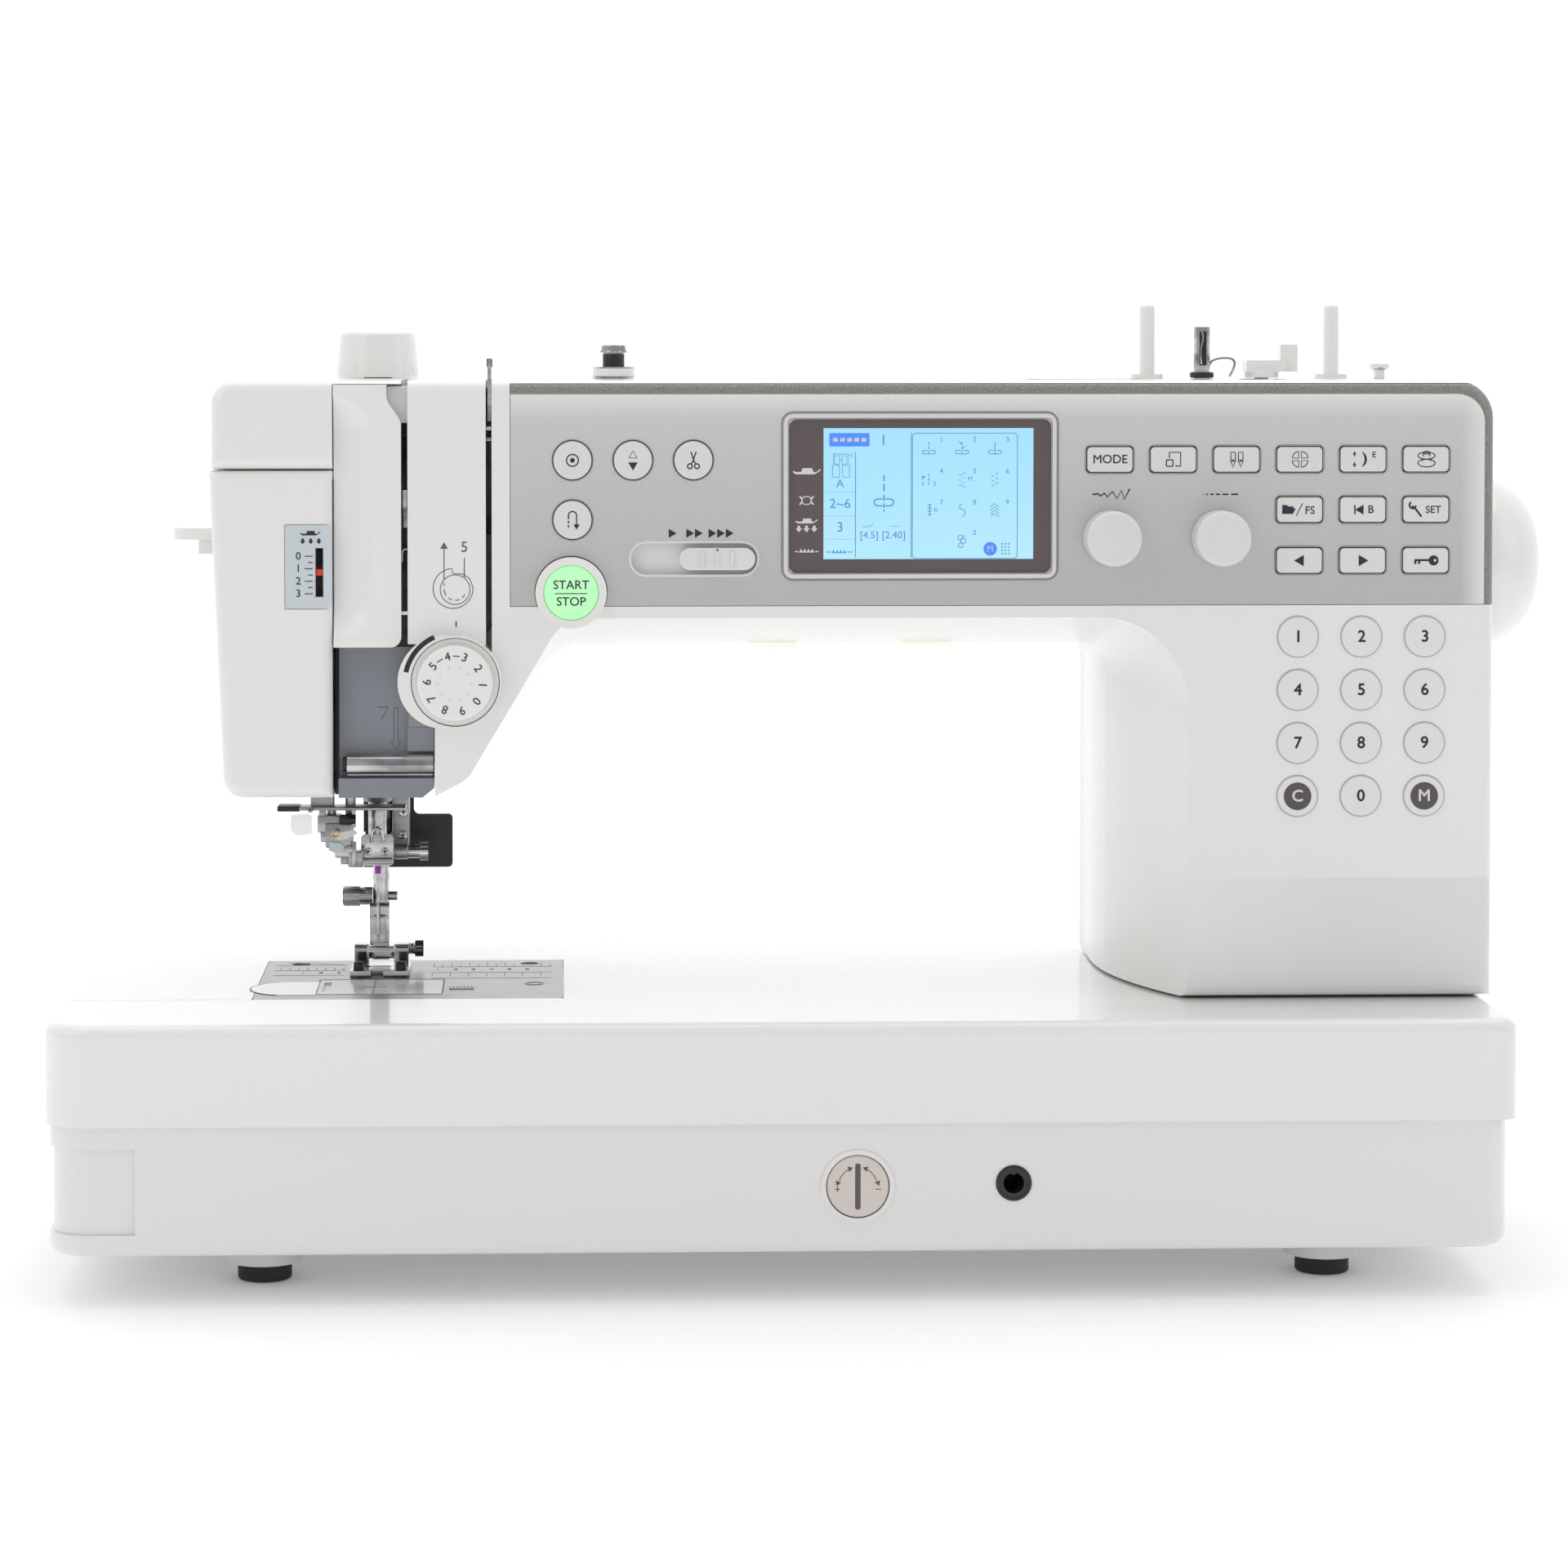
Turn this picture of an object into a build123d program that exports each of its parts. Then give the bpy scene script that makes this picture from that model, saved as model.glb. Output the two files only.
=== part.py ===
from build123d import *
import math
import os

# Flat-bed electronic sewing machine with a 254 mm throat, in millimetres.
# X runs along the bed from the needle end to the handwheel, Y from the user to the back, Z up.
# Places are measured from the middle of the bed, its front face and the surface it stands on.
# Everything is moved so that the origin is the bottom centre of the whole machine when saved.

# Overall sizes
bed_width = 485.0
bed_depth = 185.0
bed_top = 92.2
bed_seam = 59.0
tray_floor = 15.9
body_top = 302.0
body_front = 44.0
body_rear = 160.0
body_left = -190.8
body_right = bed_width / 2 + 0.5
arm_under = 208.0
column_left = body_right - 126.0
head_under = 161.6

# Walls and clearances
wall = 3.0
button_gap = 0.4
fit_gap = 0.3
shaft_fit = 0.05
side_step = 1.5
bed_corner = 15.0
bed_corner_right = 6.0
bed_edge = 4.0
body_edge = 4.0

# Soft inner corner between the arm and the column, and the chin under the head
corner_depth = 80.0
corner_side = 22.0
corner_under = 14.0
corner_bend = 8.0
chin_right = -72.0
chin_left = -104.0
chin_low = 168.0
cap_low = 272.2
cap_corner = 8.0
face_right = -148.6
seam_gap = 0.7
split_y = 102.0

# Rubber feet
foot_left_x = -172.6
foot_right_x = body_right - 57.7
foot_front_y = 43.7
foot_rear_y = bed_depth - 43.7
foot_radius = 9.1
foot_height = 6.2
collar_radius = 12.9

# Grip recess at the left of the tray
grip_width = 29.0
grip_low = 23.4
grip_high = 51.7
grip_depth = 1.2

# Front of the tray
balance_x = 24.4
balance_z = 38.1
balance_radius = 10.2
balance_ring = 12.1
knee_x = 75.7
knee_z = 38.9
knee_radius = 5.9
knee_bore = 3.4

# Power inlet and switch on the tray's right side
inlet_y0 = 128.0
inlet_y1 = 150.0
inlet_z0 = 28.0
inlet_z1 = 44.0
switch_y = 109.0
switch_z = 36.0
switch_length = 18.0
switch_height = 12.0
switch_room = 1.0

# Needle, presser and hook
needle_x = -137.2
needle_y = 112.0
needle_tip = 102.1
needle_bar_radius = 3.3
needle_bar_low = 136.0
needle_bar_high = 285.0
presser_x = -136.5
presser_y = 123.0
presser_radius = 2.9
presser_low = 111.0
presser_high = 275.0
clamp_low = 130.6
clamp_high = 141.7
needle_shank = 1.0
needle_shank_top = 134.0
needle_blade = 0.45
ankle_front = 117.5
foot_x = -136.2
foot_pin = 1.0
foot_pivot_y = 121.0
foot_pivot_z = 98.5
sole_gap = 0.5
take_up_y = 92.0
take_up_z = 262.0
take_up_pin = 2.5
needle_guide_low = 168.0
needle_guide_high = 272.0
hook_y = 85.0
hook_radius = 21.0
hook_low = 68.0
bobbin_seat = 2.6
feed_low = 85.0
feed_top = 92.1
feed_drop = 3.5
hook_high = feed_low - feed_drop - 0.6
hook_shaft = 3.0
hook_gear_radius = 8.9
lower_gear_radius = 17.8
lower_shaft_y = 112.0
lower_shaft_z = 49.0
lower_shaft_radius = 4.0

# Needle plate and bobbin cover
plate_left = -177.4
plate_right = -72.0
plate_front = 54.3
plate_rear = 140.2
plate_thickness = 1.8
plate_gap = 0.2
feed_gap = 0.5
tooth_pitch = 1.6
column_open_left = column_left + 21.0
cover_left = -156.7
cover_right = -113.4
cover_front = 64.3
cover_rear = 96.8

# Control panel and its window
panel_left = -89.6
panel_top = body_top - 1.2
panel_low = panel_top - 74.6
panel_thickness = 3.0
panel_corner = 13.0
rim_left = 2.3
rim_right = 94.0
rim_low = panel_top - 65.3
rim_high = panel_top - 10.2
rim_width = 1.7
rim_proud = 0.8
screen_left = 15.6
screen_right = 86.4
screen_low = panel_top - 59.1
screen_high = panel_top - 14.8

# Buttons, keys and knobs
button_radius = 6.4
button_proud = 1.0
lock_x = -68.8
needle_button_x = -48.5
cutter_x = -28.2
upper_button_z = panel_top - 25.6
reverse_x = -68.8
reverse_z = panel_top - 45.6
start_x = -69.3
start_z = panel_top - 70.0
start_ring = 12.0
start_radius = 9.0
start_proud = 3.0
start_flange = 10.4
key_width = 15.2
key_height = 8.3
key_corner = 1.4
key_first_x = body_right - 130.8
key_pitch = 21.44
key_top_z = panel_top - 25.5
key_mid_z = panel_top - 42.5
key_low_z = panel_top - 59.7
number_radius = 6.7
number_first_x = body_right - 66.8
number_pitch_x = 21.55
number_top_z = panel_top - 85.5
number_pitch_z = 18.0
knob_z = panel_top - 51.8
knob_radius = 9.3
knob_proud = 12.0
width_knob_x = body_right - 130.5
length_knob_x = body_right - 93.7
slot_left = -49.3
slot_right = -6.6
slot_z = panel_top - 58.8
slot_height = 10.8
slider_width = 25.6
slider_height = 7.5
knob_stem = 3.0
display_depth = 4.0

# Thread path at the head
slab_left = -149.0
slab_right = -126.3
channel = 2.2
plate_strip_left = slab_right + channel
plate_strip_right = -97.9
strip_low = 213.5
grey_right = -115.1
grey_front = 52.0
dial_x = -108.1
dial_z = 201.1
dial_radius = 12.6
dial_flange = 14.6
housing_radius = 15.6
housing_shift = 3.7
housing_front = 38.0
dial_front = 33.0
dial_stem = 3.0
slab_low = 212.4
slab_rear = 60.0
slot_rear = 84.0
scoop_radius = 12.0
window_left = -165.4
window_low = 225.2
window_high = 253.9
pointer_slot_left = -155.0
pointer_slot_right = -152.4
pointer_slot_low = 229.4
pointer_slot_high = 245.8
pointer_z = 237.6

# Top of the arm
pressure_y = presser_y
pressure_radius = 14.6
pressure_height = 16.0
guide_x = -54.2
guide_y = 100.0
spool_left_x = body_right - 111.1
spool_right_x = body_right - 46.6
spool_y = 95.0
hook_guide_x = body_right - 29.7
spool_radius = 2.7
spool_top = 327.7
spindle_x = body_right - 91.9
spindle_radius = 2.85
spindle_top = 319.9
spindle_travel = 5.0
stopper_travel = 5.0
stopper_stem_x = body_right - 71.0
stem_radius = 2.5
pressure_stem = 5.0

# Drive
shaft_y = 122.0
shaft_z = 236.9
shaft_radius = 5.0
shaft_left = -112.0
crank_radius = 15.0
crank_width = 7.0
wheel_radius = 30.4
wheel_gap = 0.8
wheel_outer = body_right + 31.0
motor_radius = 20.0
motor_left = body_right - 118.0
motor_right = body_right - 67.0
motor_y = 112.0
motor_z = 150.0
motor_pulley_radius = 8.0
big_pulley_radius = 20.0
small_pulley_radius = 16.0
belt_thickness = 1.5
belt_gap = 0.3
motor_belt_x = body_right - 41.0
lower_belt_x = body_right - 56.0
belt_width = 9.0
frame_front = body_rear - 13.0
frame_rear = body_rear - 7.0
frame_foot = 26.0
frame_left = 37.5 - bed_width / 2
frame_right = body_right - 18.0
frame_inner = column_left + 33.0
frame_head = body_left + wall + 4.8
frame_chin = head_under + wall + 1.4
frame_top = body_top - wall - 9.0
frame_cap = cap_low - wall - 4.2
motor_shaft = 3.0

# Lever behind the head
lever_x = -125.0
lever_z = 190.0
lever_hub = 6.0
lever_reach = 36.0
lever_slope = -26.0

origin_x = (wheel_outer - bed_width / 2) / 2
origin_y = bed_depth / 2


def block(x0, x1, y0, y1, z0, z1):
    """Box between two corners."""
    return Pos((x0 + x1) / 2, (y0 + y1) / 2, (z0 + z1) / 2) * Box(x1 - x0, y1 - y0, z1 - z0)


def rod_x(x0, x1, y, z, radius):
    """Cylinder along X."""
    return Pos((x0 + x1) / 2, y, z) * Rot(0, 90, 0) * Cylinder(radius, x1 - x0)


def rod_y(x, y0, y1, z, radius):
    """Cylinder along Y."""
    return Pos(x, (y0 + y1) / 2, z) * Rot(90, 0, 0) * Cylinder(radius, y1 - y0)


def rod_z(x, y, z0, z1, radius):
    """Cylinder along Z."""
    return Pos(x, y, (z0 + z1) / 2) * Cylinder(radius, z1 - z0)


def tube_z(x, y, z0, z1, outer, inner):
    """Upright tube."""
    return rod_z(x, y, z0, z1, outer) - rod_z(x, y, z0, z1, inner)


def upright(x, z, y0, y1, flat):
    """Flat outline in the XZ plane, extruded from y0 to y1; its first axis is +X, its second +Z."""
    plane = Plane(origin=(x, y0, z), x_dir=(1, 0, 0), z_dir=(0, -1, 0))
    return extrude(plane * flat, amount=-(y1 - y0))


def outline_xz(points, y0, y1):
    """Polygon of (x, z) points extruded from y0 to y1."""
    return upright(0, 0, y0, y1, make_face(Polyline(*points, close=True)))


def box_hole(width, height, corner, x, z, y0, y1):
    """Rounded rectangle through a front wall."""
    return upright(x, z, y0, y1, RectangleRounded(width, height, corner))


def save(name, solid):
    """Writes one sub-part, moved into the machine's own frame."""
    placed = Pos(-origin_x, -origin_y, 0) * solid
    export_step(placed, os.path.join("parts", name + ".step"))


def ease(y):
    """Share of the soft inner corner that is left at depth y behind the body's front face."""
    return max(0.0, 1.0 - (y - body_front) / corner_depth) ** 2


def throat_section(y, thickness):
    """Outline of the open space under the arm at one depth, larger by a wall thickness."""
    right = column_left + corner_side * ease(y) + thickness
    under = arm_under + corner_under * ease(y) + thickness
    bend = corner_bend + corner_side * ease(y)
    left = grey_right - 1.0
    points = [
        (right, bed_top - 30.0),
        (right, under),
        (chin_right, under),
        (chin_left - thickness, chin_low + thickness),
        (left, head_under + thickness),
        (left, bed_top - 30.0),
    ]
    radii = [1.0, bend, 14.0, 10.0, 1.0, 1.0]
    line = FilletPolyline(*points, radius=radii, close=True)
    return Plane(origin=(0, y, 0), x_dir=(1, 0, 0), z_dir=(0, -1, 0)) * make_face(line)


def throat(thickness):
    """Solid of the space under the arm, with the soft corner at its front."""
    depths = [body_front - 1.0, 54.0, 66.0, 80.0, 96.0, body_front + corner_depth, body_rear + 1.0]
    return loft([throat_section(y, thickness) for y in depths])


def body_form():
    """Arm, column and head as one solid form, with its rounded outer edges."""
    points = [
        (body_left + 0.8, cap_low),
        (body_left + 0.8, body_top),
        (body_right, body_top),
        (body_right, bed_top + 0.8),
        (grey_right, bed_top + 0.8),
        (grey_right, head_under),
        (face_right, head_under),
        (face_right, cap_low),
    ]
    radii = [0.5, cap_corner, panel_corner, 0.5, 0.5, 0.5, 0.5, 0.5]
    line = FilletPolyline(*points, radius=radii, close=True)
    form = upright(0, 0, body_front, body_rear, make_face(line))
    front = [e for e in form.edges() if e.center().Y < body_front + 0.1]
    rear = [e for e in form.edges() if e.center().Y > body_rear - 0.1]
    form = fillet(outer_only(front) + outer_only(rear), body_edge)
    return form - throat(0.0)


def outer_only(edges):
    """Edges of the top, the right side and the cap's left side."""
    kept = []
    for edge in edges:
        middle = edge.center()
        if middle.Z > body_top - 16.0 or middle.X > body_right - 0.1:
            kept.append(edge)
        elif middle.X < body_left + 1.0 and edge.length > 5.0:
            kept.append(edge)
    return kept


def body_cavity():
    """Inside of the arm, column and head."""
    points = [
        (body_left + 0.8 + wall, cap_low + wall),
        (body_left + 0.8 + wall, body_top - wall),
        (body_right - wall, body_top - wall),
        (body_right - wall, bed_top - 8.0),
        (face_right - 1.0, bed_top - 8.0),
        (face_right - 1.0, cap_low + wall),
    ]
    inside = outline_xz(points, body_front + 2 * wall, body_rear - wall)
    chin = block(face_right - 2, grey_right, body_front, body_rear, bed_top - 20, head_under - 1)
    return inside - throat(wall) - chin


def tray():
    """Lower casing of the bed, with foot collars and openings for the dial, sockets and switch."""
    half = bed_width / 2
    shape = Pos(0, bed_depth / 2, 0) * RectangleRounded(
        bed_width - 2 * side_step, bed_depth - 2 * side_step, bed_corner - side_step
    )
    outer = Pos(0, 0, tray_floor) * extrude(shape, amount=bed_seam - tray_floor)
    outer = fillet(outer.faces().sort_by(Axis.Z)[0].edges(), bed_edge)
    space = Pos(0, bed_depth / 2, tray_floor + wall) * extrude(
        RectangleRounded(
            bed_width - 2 * side_step - 2 * wall,
            bed_depth - 2 * side_step - 2 * wall,
            bed_corner - side_step - wall,
        ),
        amount=bed_seam,
    )
    solid = outer - space
    # The grip wraps round the left front corner, a little below the casing's surface.
    band = block(-half - 1, -half + grip_width + side_step, -1, bed_depth * 0.4, grip_low, grip_high)
    inside = Pos(0, bed_depth / 2, 0) * extrude(
        RectangleRounded(
            bed_width - 2 * side_step - 2 * grip_depth,
            bed_depth - 2 * side_step - 2 * grip_depth,
            bed_corner - side_step - grip_depth,
        ),
        amount=bed_seam,
    )
    solid -= band - inside
    for x in (foot_left_x, foot_right_x):
        for y in (foot_front_y, foot_rear_y):
            solid += rod_z(x, y, foot_height, tray_floor + 1.0, collar_radius)
    ring = rod_y(balance_x, side_step - 0.5, side_step + wall, balance_z, balance_ring)
    solid += ring
    solid -= rod_y(balance_x, 0, side_step + wall + 1, balance_z, balance_radius + fit_gap)
    solid -= rod_y(knee_x, 0, side_step + wall + 1, knee_z, knee_radius)
    right = half - side_step
    solid -= block(right - wall - 1, right + 1, inlet_y0, inlet_y1, inlet_z0, inlet_z1)
    solid -= block(
        right - wall - 1,
        right + 1,
        switch_y - switch_length / 2 - fit_gap,
        switch_y + switch_length / 2 + fit_gap,
        switch_z - switch_height / 2 - switch_room,
        switch_z + switch_height / 2 + switch_room,
    )
    return solid


def cover_outline(inset, corner_left, corner_right):
    """Plan outline of the bed cover, inset all round."""
    half = bed_width / 2 - inset
    points = [
        (-half, inset),
        (half, inset),
        (half, bed_depth - inset),
        (-half, bed_depth - inset),
    ]
    radii = [corner_left, corner_right, corner_right, corner_left]
    return make_face(FilletPolyline(*points, radius=radii, close=True))


def bed_shell():
    """Upper casing of the bed, with the recess of the needle plate and the column's opening."""
    face = cover_outline(0.0, bed_corner, bed_corner_right)
    outer = Pos(0, 0, bed_seam) * extrude(face, amount=bed_top - bed_seam)
    outer = fillet(outer.faces().sort_by(Axis.Z)[-1].edges(), bed_edge)
    hollow = cover_outline(wall, bed_corner - wall, bed_corner_right - wall)
    solid = outer - Pos(0, 0, bed_seam - 1) * extrude(hollow, amount=bed_top - bed_seam - wall + 1)
    gap = plate_gap
    recess = block(
        plate_left - gap,
        plate_right + gap,
        plate_front - gap,
        plate_rear + gap,
        bed_top - plate_thickness,
        bed_top + 1,
    )
    well = block(
        plate_left + wall,
        plate_right - wall,
        plate_front + wall,
        plate_rear - wall,
        bed_seam,
        bed_top + 1,
    )
    column = block(column_open_left, body_right - 7, 60, frame_rear + 2, bed_seam, bed_top + 1)
    seam = block(-bed_width, plate_left, plate_front - 0.25, plate_front + 0.25, bed_top - 0.5, bed_top + 1)
    return solid - recess - well - column - seam


def feet():
    """Four rubber feet."""
    pads = []
    for x in (foot_left_x, foot_right_x):
        for y in (foot_front_y, foot_rear_y):
            pad = rod_z(x, y, 0, foot_height, foot_radius)
            pads.append(fillet(pad.faces().sort_by(Axis.Z)[0].edges(), 0.8))
    return Compound(pads)


def stopper_slot():
    """Slot in the top for the winder stopper's stem."""
    low = stopper_stem_x - stopper_travel - stem_radius - fit_gap
    high = stopper_stem_x + stem_radius + fit_gap
    reach = stem_radius + fit_gap
    return block(low, high, spool_y - reach, spool_y + reach, body_top - 5, body_top + 1)


def spindle_slot():
    """Slot in the top for the winder spindle."""
    low = spindle_x - spindle_radius - fit_gap
    high = spindle_x + spindle_travel + spindle_radius + fit_gap
    reach = spindle_radius + fit_gap
    return block(low, high, spool_y - reach, spool_y + reach, body_top - 5, body_top + 1)


def button_spots():
    """Middle of each round button, by node name."""
    return {
        "lock_button": (lock_x, upper_button_z),
        "needle_button": (needle_button_x, upper_button_z),
        "cutter_button": (cutter_x, upper_button_z),
        "reverse_button": (reverse_x, reverse_z),
    }


def key_spots():
    """Middle of each function key, by node name."""
    spots = {}
    for column in range(6):
        spots[f"key_top_{column + 1}"] = (key_first_x + column * key_pitch, key_top_z)
    for column in range(3):
        x = key_first_x + (column + 3) * key_pitch
        spots[f"key_mid_{column + 1}"] = (x, key_mid_z)
        spots[f"key_low_{column + 1}"] = (x, key_low_z)
    return spots


def number_spots():
    """Middle of each number key."""
    spots = []
    for row in range(4):
        for column in range(3):
            x = number_first_x + column * number_pitch_x
            spots.append((x, number_top_z - row * number_pitch_z))
    return spots


def thread_boss():
    """Housing round the tension dial, wider towards the needle end."""
    rear = body_front + 2 * wall
    boss = rod_y(dial_x, housing_front, rear, dial_z, housing_radius)
    boss += rod_y(dial_x - housing_shift, housing_front, rear, dial_z, housing_radius)
    boss -= rod_y(dial_x, housing_front - 1, housing_front + 4.0, dial_z, dial_flange + fit_gap)
    return boss


def front_shell(form, cavity):
    """Front half of the arm and column casing."""
    solid = (form - cavity) & block(-300, 300, 0, split_y, 0, 400)
    rear = body_front + 2 * wall
    # Seat of the control panel and the window behind it
    solid -= block(panel_left - 0.2, 260, 0, body_front + panel_thickness, panel_low - 0.2, panel_top + 0.2)
    solid -= block(panel_left + 5, body_right - 8, 0, rear + 1, panel_low + 5, panel_top - 6)
    # Slab, thread slots and the recess of the grey panel
    solid -= block(slab_left - 0.3, slab_right, 0, slab_rear + 0.2, slab_low - 0.2, panel_top)
    solid -= block(slab_right, plate_strip_left, 0, slot_rear, strip_low - 4, body_top + 1)
    solid -= block(plate_strip_right, plate_strip_right + 2.0, 0, slot_rear, 209.0, body_top + 1)
    solid -= block(slab_left - 1, grey_right, 0, split_y - 2, head_under - 2, strip_low)
    solid += thread_boss() - block(-300, 300, 0, 60, strip_low + 3, 300)
    solid -= rod_y(dial_x, housing_front, rear + 1, dial_z, dial_stem + shaft_fit)
    # Ring of the start button stands proud of the face.
    solid += rod_y(start_x, body_front - start_proud, rear, start_z, start_ring)
    solid -= rod_y(start_x, 0, rear + 1, start_z, start_radius + button_gap)
    solid -= rod_y(start_x, rear, rear + 2.8, start_z, start_flange + fit_gap)
    for x, z in number_spots():
        solid -= rod_y(x, 0, rear + 1, z, number_radius + button_gap)
    return solid - stopper_slot() - spindle_slot()


def rear_shell(form, cavity):
    """Rear half of the arm and column casing."""
    solid = (form - cavity) & block(-300, 300, split_y, 200, 0, 400)
    solid -= rod_z(needle_x, pressure_y, body_top - 6, body_top + 1, pressure_stem + fit_gap)
    solid -= rod_x(body_right - wall - 1, body_right + 1, shaft_y, shaft_z, shaft_radius + 1.0)
    solid -= rod_y(lever_x, body_rear - wall - 1, body_rear + 1, lever_z, lever_hub + shaft_fit)
    return solid


def panel(form):
    """Silver control panel on the front of the arm, with its openings."""
    layer = block(panel_left, 260, body_front - 1, body_front + panel_thickness, panel_low, panel_top)
    solid = form & layer
    back = body_front + panel_thickness
    front = body_front - rim_proud
    width = rim_right - rim_left
    height = rim_high - rim_low
    middle_x = (rim_left + rim_right) / 2
    middle_z = (rim_low + rim_high) / 2
    solid += box_hole(width, height, 4.0, middle_x, middle_z, front, back)
    solid -= box_hole(
        width - 2 * rim_width, height - 2 * rim_width, 2.5, middle_x, middle_z, 0, back + 1
    )
    solid -= rod_y(start_x, 0, back + 1, start_z, start_ring + 0.3)
    for x, z in button_spots().values():
        solid -= rod_y(x, 0, back + 1, z, button_radius + button_gap)
    for x, z in key_spots().values():
        solid -= box_hole(
            key_width + 2 * button_gap, key_height + 2 * button_gap, key_corner, x, z, 0, back + 1
        )
    slot_width = slot_right - slot_left
    slot_x = (slot_left + slot_right) / 2
    solid -= box_hole(slot_width, slot_height, slot_height / 2 - 0.05, slot_x, slot_z, 0, back + 1)
    for x in (width_knob_x, length_knob_x):
        solid -= rod_y(x, 0, back + 1, knob_z, knob_stem + shaft_fit)
    return solid


def display():
    """Dark frame of the screen, with the shallow recess of the liquid crystal panel."""
    width = rim_right - rim_left - 2 * rim_width - 0.2
    height = rim_high - rim_low - 2 * rim_width - 0.2
    middle_x = (rim_left + rim_right) / 2
    middle_z = (rim_low + rim_high) / 2
    solid = box_hole(width, height, 2.4, middle_x, middle_z, body_front, body_front + display_depth)
    return solid - block(screen_left, screen_right, 0, body_front + 0.6, screen_low, screen_high)


def face_shell():
    """Cover of the needle end, with the thread cutter on its left side."""
    points = [
        (body_left, cap_low - 0.4),
        (body_left + 4.8, head_under),
        (face_right - seam_gap, head_under),
        (face_right - seam_gap, cap_low - 0.4),
    ]
    line = FilletPolyline(*points, radius=[0.5, 7.0, 0.5, 0.5], close=True)
    solid = upright(0, 0, body_front, body_rear, make_face(line))
    ends = []
    for edge in solid.edges():
        middle = edge.center()
        at_end = middle.Y < body_front + 0.1 or middle.Y > body_rear - 0.1
        if at_end and middle.X < body_left + 9.0 and middle.Z < cap_low - 1.0:
            ends.append(edge)
    solid = fillet(ends, body_edge)
    inner = [
        (body_left + wall + 0.5, cap_low - 0.4 - wall),
        (body_left + 4.8 + wall, head_under + wall),
        (face_right + 5, head_under + wall),
        (face_right + 5, cap_low - 0.4 - wall),
    ]
    solid -= outline_xz(inner, body_front + wall, body_rear - wall)
    # Window of the pressure scale and the slot that its pointer runs in
    solid -= block(window_left, 0, 0, body_front + 0.8, window_low, window_high)
    solid -= block(pointer_slot_left, pointer_slot_right, 0, 60, pointer_slot_low, pointer_slot_high)
    tab = rod_z(-199.0, 84.0, 247.0, 251.0, 7.0)
    tab += block(-199.0, body_left + 1.5, 77.0, 98.0, 247.0, 251.0)
    tab += block(-197.0, body_left + 1.5, 80.0, 98.0, 242.0, 247.0)
    solid += tab - block(body_left + wall, 0, 0, 200, 200, 300)
    return solid


def slab():
    """Left cover of the thread path, with its long hollow for the thumb."""
    solid = block(slab_left, slab_right, body_front, slab_rear, slab_low, panel_top - 0.2)
    solid = fillet(solid.edges().filter_by(Axis.Y).group_by(Axis.Z)[0], 3.0)
    scoop = Pos(slab_left - 3.0, body_front - 6.0, (slab_low + panel_top) / 2 - 1.5)
    solid -= scoop * Cylinder(scoop_radius, panel_top - slab_low - 12.0)
    notch = block(slab_right - 4.0, slab_right + 1, 0, slab_rear + 1, panel_top - 13, panel_top + 1)
    return solid - notch


def grey_panel():
    """Grey thread panel between the face cover and the tension dial, with the block below it."""
    left = face_right + 1.1
    right = grey_right - 0.4
    solid = block(left, right, grey_front, grey_front + wall, head_under, strip_low - 1.5)
    solid += block(left, right, grey_front - 6, grey_front + wall, head_under, head_under + 6.5)
    chin = [
        (right - 5.0, head_under - 1),
        (right + 1, head_under - 1),
        (right + 1, head_under + 4.0),
    ]
    solid -= outline_xz(chin, 0, 100)
    step = block(-124.4, right, grey_front - 3, grey_front, 177.0, 185.0)
    return solid + step


def needle_plate():
    """Steel plate with the needle slot, feed openings and bobbin opening."""
    low = bed_top - plate_thickness
    solid = block(plate_left, plate_right, plate_front, plate_rear, low, bed_top)
    solid = fillet(solid.edges().filter_by(Axis.Z), 2.0)
    gap = plate_gap
    solid -= block(cover_left - gap, cover_right + gap, cover_front - gap, cover_rear + gap, 0, 100)
    solid -= Pos(needle_x, needle_y, 90) * extrude(RectangleRounded(10.0, 2.2, 1.0), amount=5)
    for x, width, y0, y1 in feed_bars():
        reach = width / 2 + feed_gap
        solid -= block(x - reach, x + reach, y0 - feed_gap, y1 + feed_gap, 0, 100)
    for x in (plate_left + 12.0, plate_right - 12.0):
        solid -= rod_z(x, plate_rear - 8.0, bed_top - 0.6, bed_top + 1, 3.2)
    return solid


def feed_bars():
    """Middle, width and the two ends of each toothed bar."""
    return [
        (needle_x - 7.6, 2.6, 101.0, 127.0),
        (needle_x + 7.6, 2.6, 101.0, 127.0),
        (needle_x, 4.2, 116.5, 127.0),
    ]


def feed_dogs():
    """Toothed bars on one carrier."""
    solid = block(needle_x - 10, needle_x + 10, 116.0, 130.0, feed_low, feed_low + 3.0)
    for x, width, y0, y1 in feed_bars():
        bar = block(x - width / 2, x + width / 2, y0, y1, feed_low, feed_top)
        teeth = int((y1 - y0) / tooth_pitch)
        for tooth in range(teeth):
            y = y0 + (tooth + 0.5) * tooth_pitch
            bar -= block(x - width, x + width, y, y + tooth_pitch / 2, feed_top - 0.8, feed_top + 1)
        solid += bar
    return solid


def bearing(x0, x1, y0, z0, z1, shaft_at_y, shaft_at_z, radius):
    """Arm of the frame that carries a shaft along X."""
    arm = block(x0, x1, y0, frame_front + 0.5, z0, z1)
    return arm - rod_x(x0 - 1, x1 + 1, shaft_at_y, shaft_at_z, radius + shaft_fit)


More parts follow.
